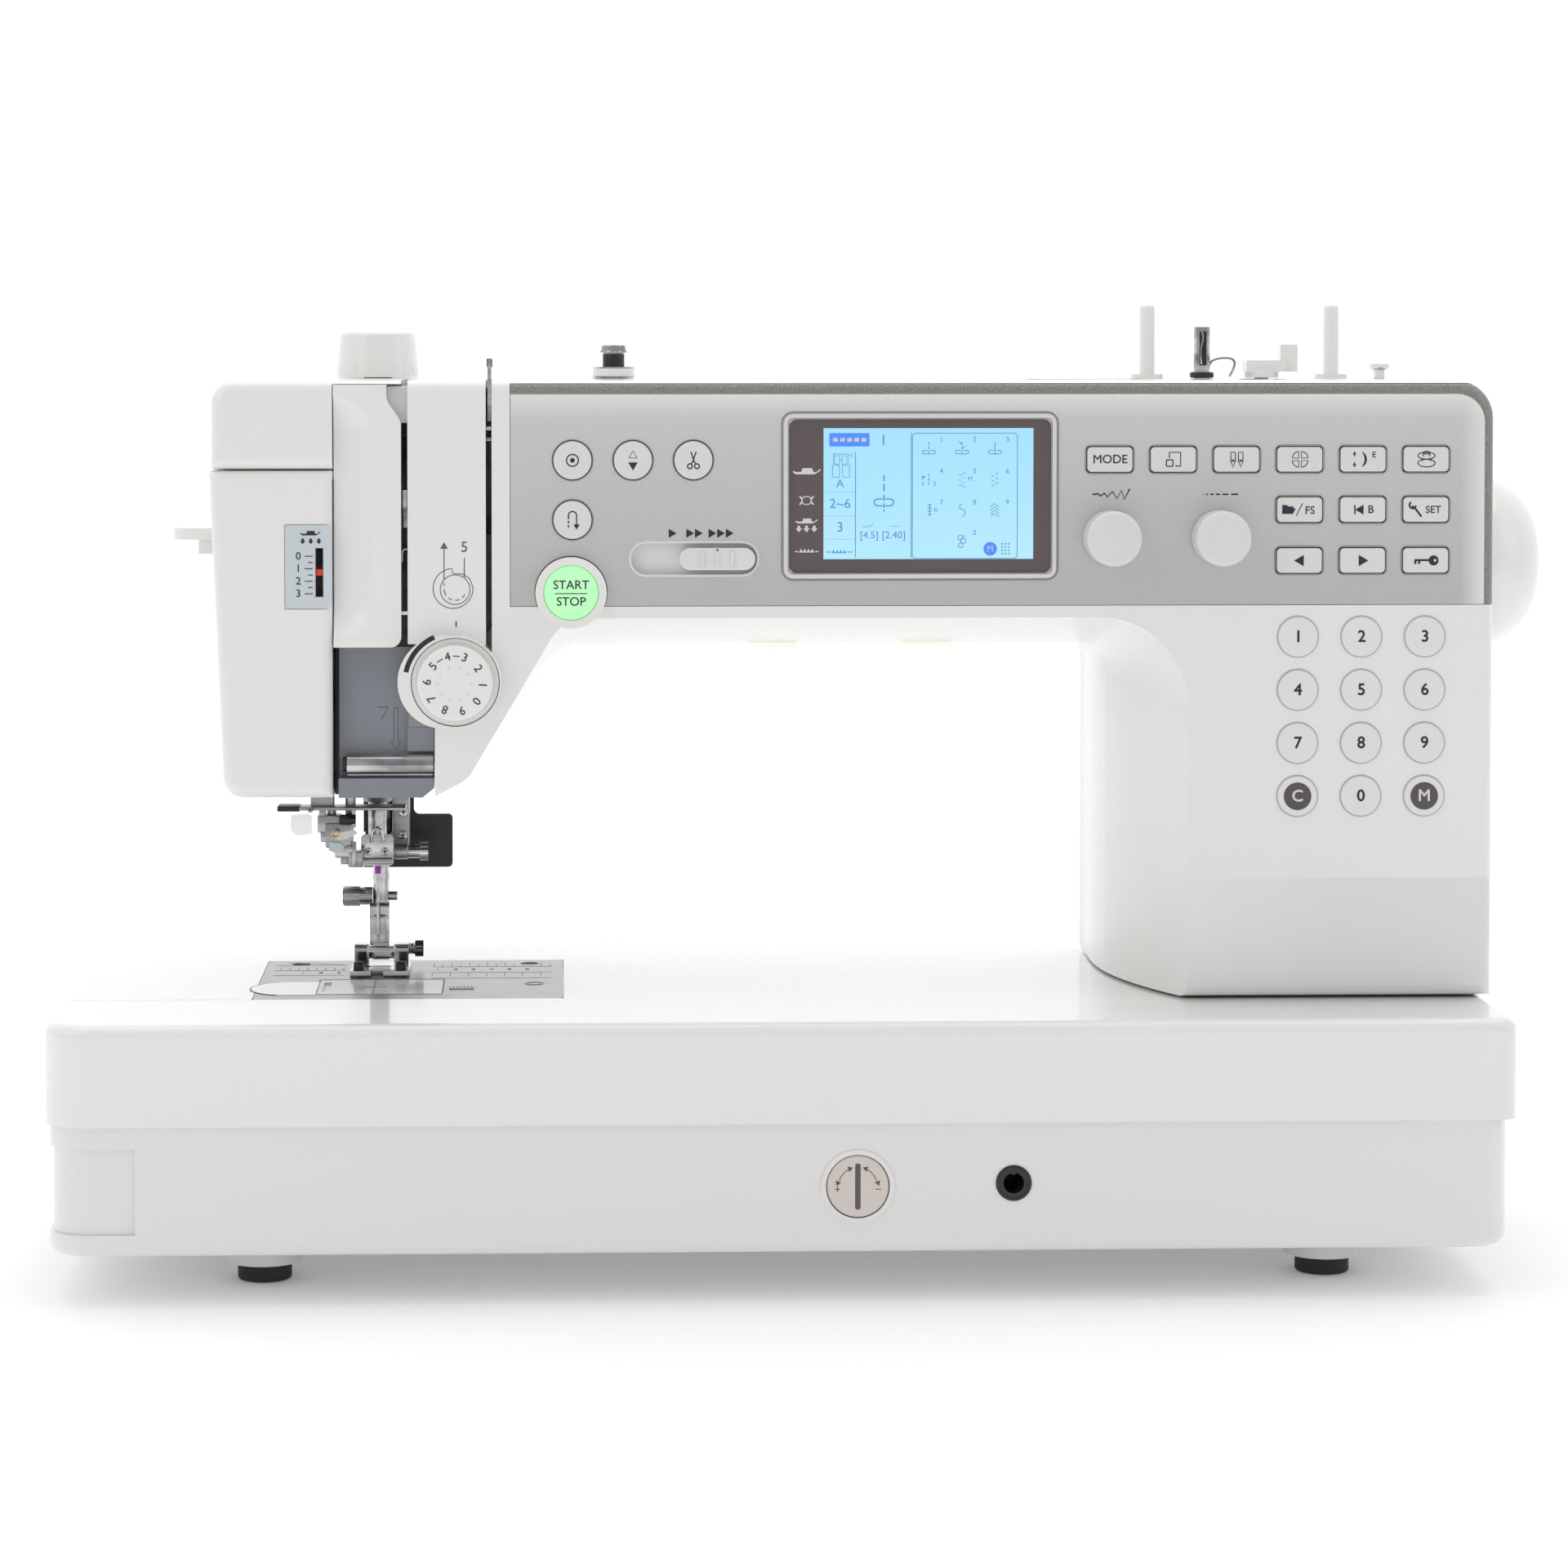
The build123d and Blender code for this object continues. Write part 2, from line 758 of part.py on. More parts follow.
def frame():
    """Cast frame: a C-shaped web at the back, with bearings and guides that reach forward."""
    web = [
        (frame_left, frame_foot),
        (frame_right, frame_foot),
        (frame_right, frame_top),
        (face_right + 2.0, frame_top),
        (face_right + 2.0, frame_cap),
        (frame_head, frame_cap),
        (frame_head, frame_chin),
        (-118.0, frame_chin),
        (-118.0, 190.0),
        (-84.0, 226.0),
        (frame_inner, 226.0),
        (frame_inner, 84.0),
        (frame_left, 84.0),
    ]
    solid = outline_xz(web, frame_front, frame_rear)
    solid += block(frame_left, frame_right, 60, frame_rear, frame_foot, frame_foot + 4)
    for x in (-100.0, column_left - 16.0, body_right - 29.0):
        solid += bearing(x, x + 8, 110, shaft_z - 10, shaft_z + 10, shaft_y, shaft_z, shaft_radius)
    for x in (-118.0, body_right - 78.0):
        solid += bearing(
            x, x + 10, 104, frame_foot, lower_shaft_z + 9, lower_shaft_y, lower_shaft_z, lower_shaft_radius
        )
    for low in (needle_guide_low, needle_guide_high):
        guide = block(-146, -128, 104, frame_front + 0.5, low, low + 8)
        guide -= rod_z(needle_x, needle_y, low - 1, low + 9, needle_bar_radius + shaft_fit)
        solid += guide - rod_z(presser_x, presser_y, low - 1, low + 9, presser_radius + shaft_fit)
    lever = block(-122.0, -118.0, take_up_y - 6, frame_front + 0.5, take_up_z - 6, take_up_z + 6)
    solid += lever - rod_x(-123, -117, take_up_y, take_up_z, take_up_pin + shaft_fit)
    post = block(needle_x - 8, needle_x + 8, 62, 72, frame_foot, 64)
    seat = block(needle_x - 8, needle_x + 8, 62, hook_y + 7, 57, 64)
    solid += post + seat - rod_z(needle_x, hook_y, 50, 70, hook_shaft + shaft_fit)
    clip_left = motor_left + 15.0
    clip = block(clip_left, clip_left + 20.0, motor_y + 8, frame_front + 0.5, motor_z - 12, motor_z + 12)
    solid += clip - rod_x(motor_left, motor_right, motor_y, motor_z, motor_radius)
    for x in (frame_left + 15.0, body_right - 38.0):
        solid += rod_z(x, 70, tray_floor + wall, frame_foot + 1, 6)
        solid += rod_z(x, 140, tray_floor + wall, frame_foot + 1, 6)
    return solid


def pulley_loop(upper_y, upper_z, upper_radius, lower_y, lower_z, lower_radius, x):
    """Closed belt round two pulleys, standing off them by the belt gap."""
    def hull(extra):
        plane = Plane(origin=(x - belt_width / 2, 0, 0), x_dir=(0, 1, 0), z_dir=(1, 0, 0))
        upper = Pos(upper_y, upper_z) * CenterArc((0, 0), upper_radius + extra, 0, 360)
        lower = Pos(lower_y, lower_z) * CenterArc((0, 0), lower_radius + extra, 0, 360)
        return extrude(plane * make_hull([upper, lower]), amount=belt_width)
    return hull(belt_gap + belt_thickness) - hull(belt_gap)


def belts():
    """Motor belt and the belt down to the lower shaft."""
    motor = pulley_loop(
        shaft_y, shaft_z, big_pulley_radius, motor_y, motor_z, motor_pulley_radius, motor_belt_x
    )
    small = small_pulley_radius
    lower = pulley_loop(shaft_y, shaft_z, small, lower_shaft_y, lower_shaft_z, small, lower_belt_x)
    return Compound([motor, lower])


def pulley(x, y, z, radius):
    """Flat pulley across one belt."""
    return rod_x(x - belt_width / 2 - 0.5, x + belt_width / 2 + 0.5, y, z, radius)


def drive_shaft():
    """Upper shaft with its two pulleys and the crank of the needle bar."""
    solid = rod_x(shaft_left, wheel_outer - 6, shaft_y, shaft_z, shaft_radius)
    solid += rod_x(shaft_left - crank_width, shaft_left, shaft_y, shaft_z, crank_radius)
    solid += rod_x(shaft_left - crank_width - 3, shaft_left, shaft_y + 10, shaft_z, 2.5)
    solid += pulley(motor_belt_x, shaft_y, shaft_z, big_pulley_radius)
    solid += pulley(lower_belt_x, shaft_y, shaft_z, small_pulley_radius)
    return solid


def handwheel():
    """Balance wheel on the right end of the upper shaft."""
    inner = body_right + wheel_gap
    profile = [
        (inner, 0),
        (inner, wheel_radius - 1.0),
        (inner + 1.0, wheel_radius),
        (inner + 12.0, wheel_radius),
    ]
    edge = Polyline(*profile)
    dome_start = (inner + 12.0, wheel_radius)
    dome_end = (wheel_outer, wheel_radius * 0.2)
    dome = ThreePointArc(dome_start, (wheel_outer - 5.4, wheel_radius * 0.76), dome_end)
    close = Polyline(dome_end, (wheel_outer, 0), (inner, 0))
    face = make_face(Curve() + [edge, dome, close])
    solid = revolve(face, Axis((0, 0, 0), (1, 0, 0)))
    solid = Pos(0, shaft_y, shaft_z) * solid
    hollow = rod_x(inner - 1, inner + 8, shaft_y, shaft_z, wheel_radius - 4)
    hub = rod_x(inner - 1, inner + 9, shaft_y, shaft_z, 10)
    solid -= hollow - hub
    return solid - rod_x(inner - 1, wheel_outer - 6, shaft_y, shaft_z, shaft_radius)


def motor():
    """Drive motor in the column."""
    solid = rod_x(motor_left, motor_right, motor_y, motor_z, motor_radius)
    solid = fillet(solid.edges().filter_by(GeomType.CIRCLE), 2.0)
    return solid - rod_x(motor_right - 26, motor_right + 1, motor_y, motor_z, motor_shaft + shaft_fit)


def motor_pulley():
    """Motor shaft and its pulley."""
    solid = rod_x(motor_right - 25, motor_belt_x + 8, motor_y, motor_z, motor_shaft)
    return solid + pulley(motor_belt_x, motor_y, motor_z, motor_pulley_radius)


def lower_shaft():
    """Shaft under the bed with its belt pulley and the gear that drives the hook."""
    solid = rod_x(needle_x - 6, lower_belt_x + 8, lower_shaft_y, lower_shaft_z, lower_shaft_radius)
    solid += rod_x(needle_x - 4, needle_x + 4, lower_shaft_y, lower_shaft_z, lower_gear_radius)
    return solid + pulley(lower_belt_x, lower_shaft_y, lower_shaft_z, small_pulley_radius)


def hook():
    """Rotary hook: an open cup on an upright shaft with its gear."""
    cup = rod_z(needle_x, hook_y, hook_low, hook_high, hook_radius)
    cup -= rod_z(needle_x, hook_y, hook_low + 2, hook_high + 1, hook_radius - 1.5)
    notch = block(needle_x + 4, needle_x + 30, hook_y - 4, hook_y + 4, hook_high - 6, hook_high + 1)
    gear_low = lower_shaft_z - 5
    solid = cup - notch + rod_z(needle_x, hook_y, gear_low, hook_low, hook_shaft)
    return solid + rod_z(needle_x, hook_y, gear_low, gear_low + 10, hook_gear_radius)


def bobbin():
    """Bobbin lying in the hook."""
    low = hook_low + bobbin_seat
    high = hook_high - 0.4
    solid = tube_z(needle_x, hook_y, low, high, 5.0, 3.0)
    for z in (low, high - 1.0):
        solid += tube_z(needle_x, hook_y, z, z + 1.0, 10.2, 3.0)
    return solid


def bobbin_cover():
    """Clear sliding cover over the bobbin."""
    low = bed_top - plate_thickness + 0.1
    solid = block(cover_left, cover_right, cover_front, cover_rear, low, bed_top)
    groove_top = bed_top + 1.0
    left = cover_left + 2
    groove = block(left, left + 2.5, cover_front + 6, cover_rear - 6, bed_top - 0.7, groove_top)
    return solid - groove


def needle_bar():
    """Needle bar with the clamp block and its screw."""
    solid = rod_z(needle_x, needle_y, needle_bar_low, needle_bar_high, needle_bar_radius)
    clamp = block(needle_x - 5.7, needle_x + 5.7, 108.0, 116.5, clamp_low, clamp_high)
    clamp = fillet(clamp.edges().filter_by(Axis.Y), 1.5)
    solid += clamp
    solid += rod_x(needle_x + 5.0, -122.4, needle_y, 135.2, 2.3)
    solid += rod_x(-122.4, -119.4, needle_y, 135.2, 3.0)
    return solid - rod_z(needle_x, needle_y, clamp_low - 1, needle_shank_top, needle_shank)


def needle():
    """Sewing needle: shank, blade and point."""
    solid = rod_z(needle_x, needle_y, 126.5, needle_shank_top, needle_shank)
    solid += rod_z(needle_x, needle_y, needle_tip + 4, 127.0, needle_blade)
    point = Pos(needle_x, needle_y, needle_tip + 2) * Rot(180, 0, 0) * Cone(needle_blade, 0.05, 4)
    return solid + point


def take_up():
    """Thread take-up lever in the left slot, turning on its pin."""
    x0 = slab_right + channel / 2 - 0.7
    x1 = x0 + 1.4
    solid = rod_x(x0, -117.5, take_up_y, take_up_z, take_up_pin)
    solid += rod_x(x0, x1, take_up_y, take_up_z, 5.0)
    arm = [
        (take_up_y, take_up_z + 3.5),
        (take_up_y - 34, take_up_z - 4),
        (take_up_y - 41, take_up_z + 3),
        (take_up_y - 42, take_up_z - 3),
        (take_up_y - 34, take_up_z - 10),
        (take_up_y, take_up_z - 3.5),
    ]
    plane = Plane(origin=(x0, 0, 0), x_dir=(0, 1, 0), z_dir=(1, 0, 0))
    return solid + extrude(plane * make_face(Polyline(*arm, close=True)), amount=1.4)


def presser_bar():
    """Presser bar with the ankle and the thumb screw."""
    solid = rod_z(presser_x, presser_y, presser_low, presser_high, presser_radius)
    ankle = block(-140.3, -133.5, ankle_front, 127.0, 101.0, 116.0)
    solid += fillet(ankle.edges().filter_by(Axis.X), 1.5)
    lug = block(-139.2, -133.5, ankle_front, 124.5, foot_pivot_z - 2.4, 102.0)
    solid += lug - rod_x(-150, -120, foot_pivot_y, foot_pivot_z, foot_pin + shaft_fit)
    solid += rod_x(-150.0, -139.5, presser_y, 118.0, 3.2)
    solid += rod_x(-135.0, -130.8, presser_y, 118.0, 1.6)
    return solid


def presser_foot():
    """Snap-on foot with two ears, its pin and the release knob."""
    low = bed_top + sole_gap
    sole = block(foot_x - 10.3, foot_x + 10.3, 101.0, 129.0, low, low + 1.8)
    sole -= block(needle_x - 4.5, needle_x + 4.5, needle_y - 1.6, needle_y + 1.6, 0, 100)
    sole -= block(needle_x - 2.2, needle_x + 2.2, 100, needle_y - 4, 0, 100)
    solid = fillet(sole.edges().filter_by(Axis.Z).group_by(Axis.Y)[-1], 3.0)
    for x0, x1 in ((foot_x - 9.5, foot_x - 4.5), (foot_x + 4.5, foot_x + 9.5)):
        ear = block(x0, x1, foot_pivot_y - 4, foot_pivot_y + 4, low, foot_pivot_z + 3)
        solid += fillet(ear.edges().filter_by(Axis.X).group_by(Axis.Z)[-1], 2.5)
    solid += rod_x(foot_x - 9, foot_x + 9, foot_pivot_y, foot_pivot_z, foot_pin)
    solid += rod_x(foot_x + 9, -123.5, foot_pivot_y, foot_pivot_z + 1, 1.2)
    solid += rod_x(-124.5, -121.8, foot_pivot_y, foot_pivot_z + 1, 2.6)
    return solid


def threader():
    """Needle threader carrier beside the needle clamp, on its own slide rod."""
    solid = block(-158.0, -144.0, 96.0, 106.0, 134.0, 149.0)
    solid = fillet(solid.edges().filter_by(Axis.Y), 1.5)
    solid += rod_z(face_right + 2.4, 101.0, 145.0, 185.0, 1.8)
    solid += block(-147.0, -141.6, 97.0, 104.0, 131.5, 137.0)
    return solid


def lifter():
    """Presser foot lever at the back of the head."""
    solid = rod_y(lever_x, frame_rear + 1, body_rear + 3, lever_z, lever_hub)
    front = body_rear + 1.0
    solid += rod_y(lever_x, front, front + 4, lever_z, 9.0)
    arm = Rot(0, lever_slope, 0) * block(-lever_reach, 0, front, front + 4, -4.5, 4.5)
    grip = Rot(0, lever_slope, 0) * block(-lever_reach - 4, -lever_reach + 12, front, front + 9, -5.5, 5.5)
    grip = fillet(grip.edges().filter_by(Axis.Y), 2.0)
    return solid + Pos(lever_x, 0, lever_z) * (arm + grip)


def pressure_dial():
    """Foot pressure dial on top of the head, with its stem."""
    low = body_top + fit_gap
    high = low + pressure_height
    cap = Cone(pressure_radius, pressure_radius - 1.4, high - low)
    cap = Pos(needle_x, pressure_y, (low + high) / 2) * cap
    cap = fillet(cap.faces().sort_by(Axis.Z)[-1].edges(), 1.8)
    for rib in range(12):
        angle = rib * 30.0
        groove = Rot(0, 0, angle) * block(pressure_radius - 0.4, pressure_radius + 2, -0.6, 0.6, -20, 20)
        cap -= Pos(needle_x, pressure_y, low + 2 + 20) * groove
    return cap + rod_z(needle_x, pressure_y, body_top - 11, low + 1, pressure_stem)


def pointer():
    """Pointer of the foot pressure scale."""
    low = pointer_z - 1.0
    high = pointer_z + 1.0
    solid = block(pointer_slot_left + fit_gap, pointer_slot_right - fit_gap, 45.0, 50.0, low, high)
    return solid + block(-157.0, -150.0, 49.0, 51.0, low, high)


def tension_dial():
    """Upper thread tension dial with its flange and stem."""
    face = rod_y(dial_x, dial_front, housing_front + 1.5, dial_z, dial_radius)
    face = fillet(face.faces().sort_by(Axis.Y)[0].edges(), 1.0)
    for dimple in range(10):
        angle = math.radians(dimple * 36.0)
        x = dial_x + 5.6 * math.cos(angle)
        z = dial_z + 5.6 * math.sin(angle)
        face -= Pos(x, dial_front - 0.6, z) * Sphere(1.1)
    solid = face + rod_y(dial_x, housing_front + 0.8, housing_front + 3.7, dial_z, dial_flange)
    return solid + rod_y(dial_x, housing_front, body_front + 10, dial_z, dial_stem)


def round_button(x, z):
    """Round push button with a flange behind the panel."""
    back = body_front + panel_thickness + fit_gap
    cap = rod_y(x, body_front - button_proud, back + 0.5, z, button_radius)
    cap = fillet(cap.faces().sort_by(Axis.Y)[0].edges(), 0.5)
    return cap + rod_y(x, back, back + 1.0, z, button_radius + 1.2)


def function_key(x, z):
    """Rectangular key with a flange behind the panel."""
    back = body_front + panel_thickness + fit_gap
    cap = box_hole(key_width, key_height, key_corner, x, z, body_front - button_proud, back + 0.5)
    cap = fillet(cap.faces().sort_by(Axis.Y)[0].edges(), 0.5)
    half_width = key_width / 2 + 1.2
    half_height = key_height / 2 + 1.0
    return cap + block(x - half_width, x + half_width, back, back + 1.0, z - half_height, z + half_height)


def number_keys():
    """Twelve number keys moulded on one rubber mat."""
    mat_front = body_front + 2 * wall + fit_gap
    spots = number_spots()
    low_x = spots[0][0] - 12
    high_x = spots[-1][0] + 12
    solid = block(low_x, high_x, mat_front, mat_front + 1.5, spots[-1][1] - 10, spots[0][1] + 10)
    for x, z in spots:
        cap = rod_y(x, body_front - button_proud, mat_front + 0.5, z, number_radius)
        solid += fillet(cap.faces().sort_by(Axis.Y)[0].edges(), 0.5)
    return solid


def start_button():
    """Start and stop button inside its ring."""
    back = body_front + 2 * wall + fit_gap
    cap = rod_y(start_x, body_front - start_proud - 0.4, back + 0.5, start_z, start_radius)
    cap = fillet(cap.faces().sort_by(Axis.Y)[0].edges(), 0.6)
    return cap + rod_y(start_x, back, back + 1.0, start_z, start_flange)


def speed_slider():
    """Speed slider at its fast end, with three grip ribs and a carrier behind the panel."""
    x = slot_right - 0.8 - slider_width / 2
    back = body_front + panel_thickness + fit_gap
    bend = slider_height / 2 - 0.05
    knob = box_hole(slider_width, slider_height, bend, x, slot_z, body_front - 2.2, back + 0.5)
    knob = fillet(knob.faces().sort_by(Axis.Y)[0].edges(), 0.8)
    for step in (-5.0, 0.0, 5.0):
        left = x + step - 0.6
        knob += block(left, left + 1.2, body_front - 2.8, body_front, slot_z - 2.6, slot_z + 2.6)
    carrier = block(x - 10, x + 10, back, back + 1.0, slot_z - 7.5, slot_z + 7.5)
    return knob + carrier


def turning_knob(x):
    """Round setting knob on the control panel."""
    front = body_front - knob_proud
    cap = rod_y(x, front, body_front - 0.4, knob_z, knob_radius)
    cap = fillet(cap.faces().sort_by(Axis.Y)[0].edges(), 1.6)
    return cap + rod_y(x, body_front - 1, body_front + 12, knob_z, knob_stem)


def balance_dial():
    """Stitch balancing dial in the front of the tray, with a coin slot."""
    back = side_step + wall + fit_gap
    disc = rod_y(balance_x, side_step - 0.3, back + 0.5, balance_z, balance_radius)
    disc = fillet(disc.faces().sort_by(Axis.Y)[0].edges(), 0.6)
    disc -= block(balance_x - 0.9, balance_x + 0.9, 0, side_step + 1.2, balance_z - 7.2, balance_z + 7.2)
    return disc + rod_y(balance_x, back, back + 1.2, balance_z, balance_radius + 2.0)


def sockets():
    """Knee lifter socket in the front and power inlet in the right side."""
    knee = rod_y(knee_x, side_step - 0.4, 24.0, knee_z, knee_radius)
    knee -= rod_y(knee_x, 0, 22.0, knee_z, knee_bore)
    right = bed_width / 2 - side_step
    inlet = block(right - 14, right, inlet_y0, inlet_y1, inlet_z0, inlet_z1)
    inlet -= block(right - 12, right + 1, inlet_y0 + 2.5, inlet_y1 - 2.5, inlet_z0 + 2.5, inlet_z1 - 2.5)
    return Compound([knee, inlet])


def power_switch():
    """Rocker of the power switch in the right side of the tray."""
    right = bed_width / 2 - side_step
    y0 = switch_y - switch_length / 2
    y1 = switch_y + switch_length / 2
    z0 = switch_z - switch_height / 2
    z1 = switch_z + switch_height / 2
    solid = block(right - 6, right + 1.2, y0, y1, z0, z1)
    return fillet(solid.edges().filter_by(Axis.Y).group_by(Axis.X)[-1], 1.5)


def spool_pins():
    """Two spool pins on top of the arm."""
    pins = []
    for x in (spool_left_x, spool_right_x):
        pin = rod_z(x, spool_y, body_top, spool_top, spool_radius)
        pin = fillet(pin.faces().sort_by(Axis.Z)[-1].edges(), 1.2)
        pins.append(pin + rod_z(x, spool_y, body_top, body_top + 1.5, spool_radius + 3))
    return Compound(pins)


def thread_guides():
    """Steel thread guides: top post, slot guide, chin bar and the hook on top."""
    post = rod_z(guide_x, guide_y, body_top, body_top + 4, 7.3)
    post += rod_z(guide_x, guide_y, body_top + 4, body_top + 9.5, 3.6)
    post += rod_z(guide_x, guide_y, body_top + 9, body_top + 11, 4.3)
    middle = plate_strip_right + 1.0
    slot = block(middle - 0.65, middle + 0.65, 62.0, 70.0, 288.0, 309.0)
    bar = rod_x(-144.7, -115.7, grey_front - 3.6, 172.7, 3.4)
    hook_top = rod_z(hook_guide_x, spool_y, body_top, body_top + 3, 1.6)
    hook_top += rod_z(hook_guide_x, spool_y, body_top + 3, body_top + 4.2, 2.8)
    return Compound([post, slot, bar, hook_top])


def winder_spindle():
    """Bobbin winder spindle with its flange under the top."""
    solid = rod_z(spindle_x, spool_y, body_top - 10, spindle_top, spindle_radius)
    return solid + rod_z(spindle_x, spool_y, body_top - 8, body_top - 5, spindle_radius + 2)


def winder_stopper():
    """Bobbin winder stopper."""
    low = body_top + fit_gap
    solid = rod_z(stopper_stem_x, spool_y, body_top - 9, low + 1, stem_radius)
    solid += rod_z(stopper_stem_x, spool_y, body_top - 9, body_top - 6, stem_radius + 2)
    solid += rod_z(stopper_stem_x, spool_y, low, low + 3, 6.0)
    solid += block(stopper_stem_x - 6, stopper_stem_x + 8, spool_y - 5, spool_y + 5, low + 2, low + 6)
    solid += block(stopper_stem_x + 6, stopper_stem_x + 12, spool_y - 4, spool_y + 4, low + 2, low + 11.5)
    return solid


def main():
    """Builds and saves every sub-part."""
    os.makedirs("parts", exist_ok=True)
    form = body_form()
    cavity = body_cavity()
    save("base_tray", tray())
    save("bed_cover", bed_shell())
    save("rubber_feet", feet())
    save("front_cover", front_shell(form, cavity))
    save("rear_cover", rear_shell(form, cavity))
    save("control_panel", panel(form))
    save("display_window", display())
    save("face_cover", face_shell())
    save("thread_cover", slab())
    save("thread_panel", grey_panel())
    save("needle_plate", needle_plate())
    save("bobbin_cover", bobbin_cover())
    save("inner_frame", frame())
    save("drive_motor", motor())
    save("drive_belts", belts())
    save("sockets", sockets())
    save("spool_pins", spool_pins())
    save("thread_guides", thread_guides())
    save("handwheel", handwheel())
    save("drive_shaft", drive_shaft())
    save("motor_pulley", motor_pulley())
    save("lower_shaft", lower_shaft())
    save("rotary_hook", hook())
    save("bobbin", bobbin())
    save("needle_bar", needle_bar())
    save("needle", needle())
    save("take_up_lever", take_up())
    save("feed_dogs", feed_dogs())
    save("presser_bar", presser_bar())
    save("presser_foot", presser_foot())
    save("needle_threader", threader())
    save("lifter_lever", lifter())
    save("pressure_dial", pressure_dial())
    save("pressure_pointer", pointer())
    save("tension_dial", tension_dial())
    save("speed_slider", speed_slider())
    save("width_knob", turning_knob(width_knob_x))
    save("length_knob", turning_knob(length_knob_x))
    save("balance_dial", balance_dial())
    save("power_switch", power_switch())
    save("winder_spindle", winder_spindle())
    save("winder_stopper", winder_stopper())
    save("start_button", start_button())
    save("number_keys", number_keys())
    for name, (x, z) in button_spots().items():
        save(name, round_button(x, z))
    for name, (x, z) in key_spots().items():
        save(name, function_key(x, z))


if __name__ == "__main__":
    main()
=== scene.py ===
import bpy
import bmesh
import math
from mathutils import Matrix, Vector


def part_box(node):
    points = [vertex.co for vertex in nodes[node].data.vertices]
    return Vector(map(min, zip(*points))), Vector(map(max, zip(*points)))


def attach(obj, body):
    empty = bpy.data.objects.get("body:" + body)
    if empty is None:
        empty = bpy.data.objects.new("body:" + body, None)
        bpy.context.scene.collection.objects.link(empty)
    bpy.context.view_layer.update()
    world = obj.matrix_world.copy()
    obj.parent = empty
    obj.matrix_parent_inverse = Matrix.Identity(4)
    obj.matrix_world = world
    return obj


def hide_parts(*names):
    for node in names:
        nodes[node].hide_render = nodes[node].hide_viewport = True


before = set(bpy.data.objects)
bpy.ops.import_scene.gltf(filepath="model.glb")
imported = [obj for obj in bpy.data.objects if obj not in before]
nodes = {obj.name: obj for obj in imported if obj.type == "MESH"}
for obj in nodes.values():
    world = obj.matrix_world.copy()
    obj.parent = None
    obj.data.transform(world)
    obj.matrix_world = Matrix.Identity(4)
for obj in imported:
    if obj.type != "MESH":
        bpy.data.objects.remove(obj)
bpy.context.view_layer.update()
mm = 0.001
print("frame loaded:", len(nodes), "nodes")


class Sig:
    # a socket that can be used in sums

    def __init__(self, tree, socket):
        self.tree = tree
        self.socket = socket

    def maths(self, operation, *values):
        node = self.tree.nodes.new("ShaderNodeMath")
        node.operation = operation
        for place, value in enumerate(values):
            if isinstance(value, Sig):
                self.tree.links.new(value.socket, node.inputs[place])
            else:
                node.inputs[place].default_value = value
        return Sig(self.tree, node.outputs[0])

    def __add__(self, other):
        return self.maths("ADD", self, other)

    def __radd__(self, other):
        return self.maths("ADD", other, self)

    def __sub__(self, other):
        return self.maths("SUBTRACT", self, other)

    def __rsub__(self, other):
        return self.maths("SUBTRACT", other, self)

    def __mul__(self, other):
        return self.maths("MULTIPLY", self, other)

    def __rmul__(self, other):
        return self.maths("MULTIPLY", other, self)

    def __truediv__(self, other):
        return self.maths("DIVIDE", self, other)

    def __pow__(self, other):
        return self.maths("POWER", self, other)

    def over(self, other):
        return self.maths("MAXIMUM", self, other)

    def under(self, other):
        return self.maths("MINIMUM", self, other)

    def clip(self):
        return self.over(0.0).under(1.0)


class Coat:
    # one material and the nodes that build it

    def __init__(self, name):
        self.material = bpy.data.materials.new(name)
        self.material.use_nodes = True
        self.tree = self.material.node_tree
        self.shader = self.tree.nodes["Principled BSDF"]
        self.where = self.node("ShaderNodeTexCoord").outputs["Object"]

    def node(self, kind, settings=None, **sockets):
        made = self.tree.nodes.new(kind)
        for key, value in (settings or {}).items():
            setattr(made, key, value)
        for key, value in sockets.items():
            self.feed(made.inputs[key.replace("_", " ")], value)
        return made

    def feed(self, socket, value):
        if isinstance(value, Sig):
            self.tree.links.new(value.socket, socket)
        elif isinstance(value, bpy.types.NodeSocket):
            self.tree.links.new(value, socket)
        else:
            socket.default_value = value

    def noise(self, scale, detail=2.0, rough=0.5, stretch=None):
        where = self.where
        if stretch:
            where = self.node("ShaderNodeMapping", Vector=where, Scale=stretch).outputs[0]
        made = self.node("ShaderNodeTexNoise", Vector=where, Scale=scale, Detail=detail, Roughness=rough)
        return Sig(self.tree, made.outputs[0])

    def axis(self, letter):
        parts = self.node("ShaderNodeSeparateXYZ", Vector=self.where)
        return Sig(self.tree, parts.outputs[letter])

    def blend(self, amount, first, second):
        made = self.node("ShaderNodeMix", {"data_type": "RGBA"})
        self.feed(made.inputs[0], amount)
        self.feed(made.inputs[6], first)
        self.feed(made.inputs[7], second)
        return made.outputs[2]

    def put(self, **sockets):
        for key, value in sockets.items():
            self.feed(self.shader.inputs[key.replace("_", " ")], value)
        return self

    def bump(self, height, strength, distance):
        made = self.node("ShaderNodeBump", Strength=strength, Distance=distance)
        self.feed(made.inputs["Height"], height)
        self.feed(self.shader.inputs["Normal"], made.outputs[0])
        return self


def rgb(red, green, blue):
    return (red, green, blue, 1.0)


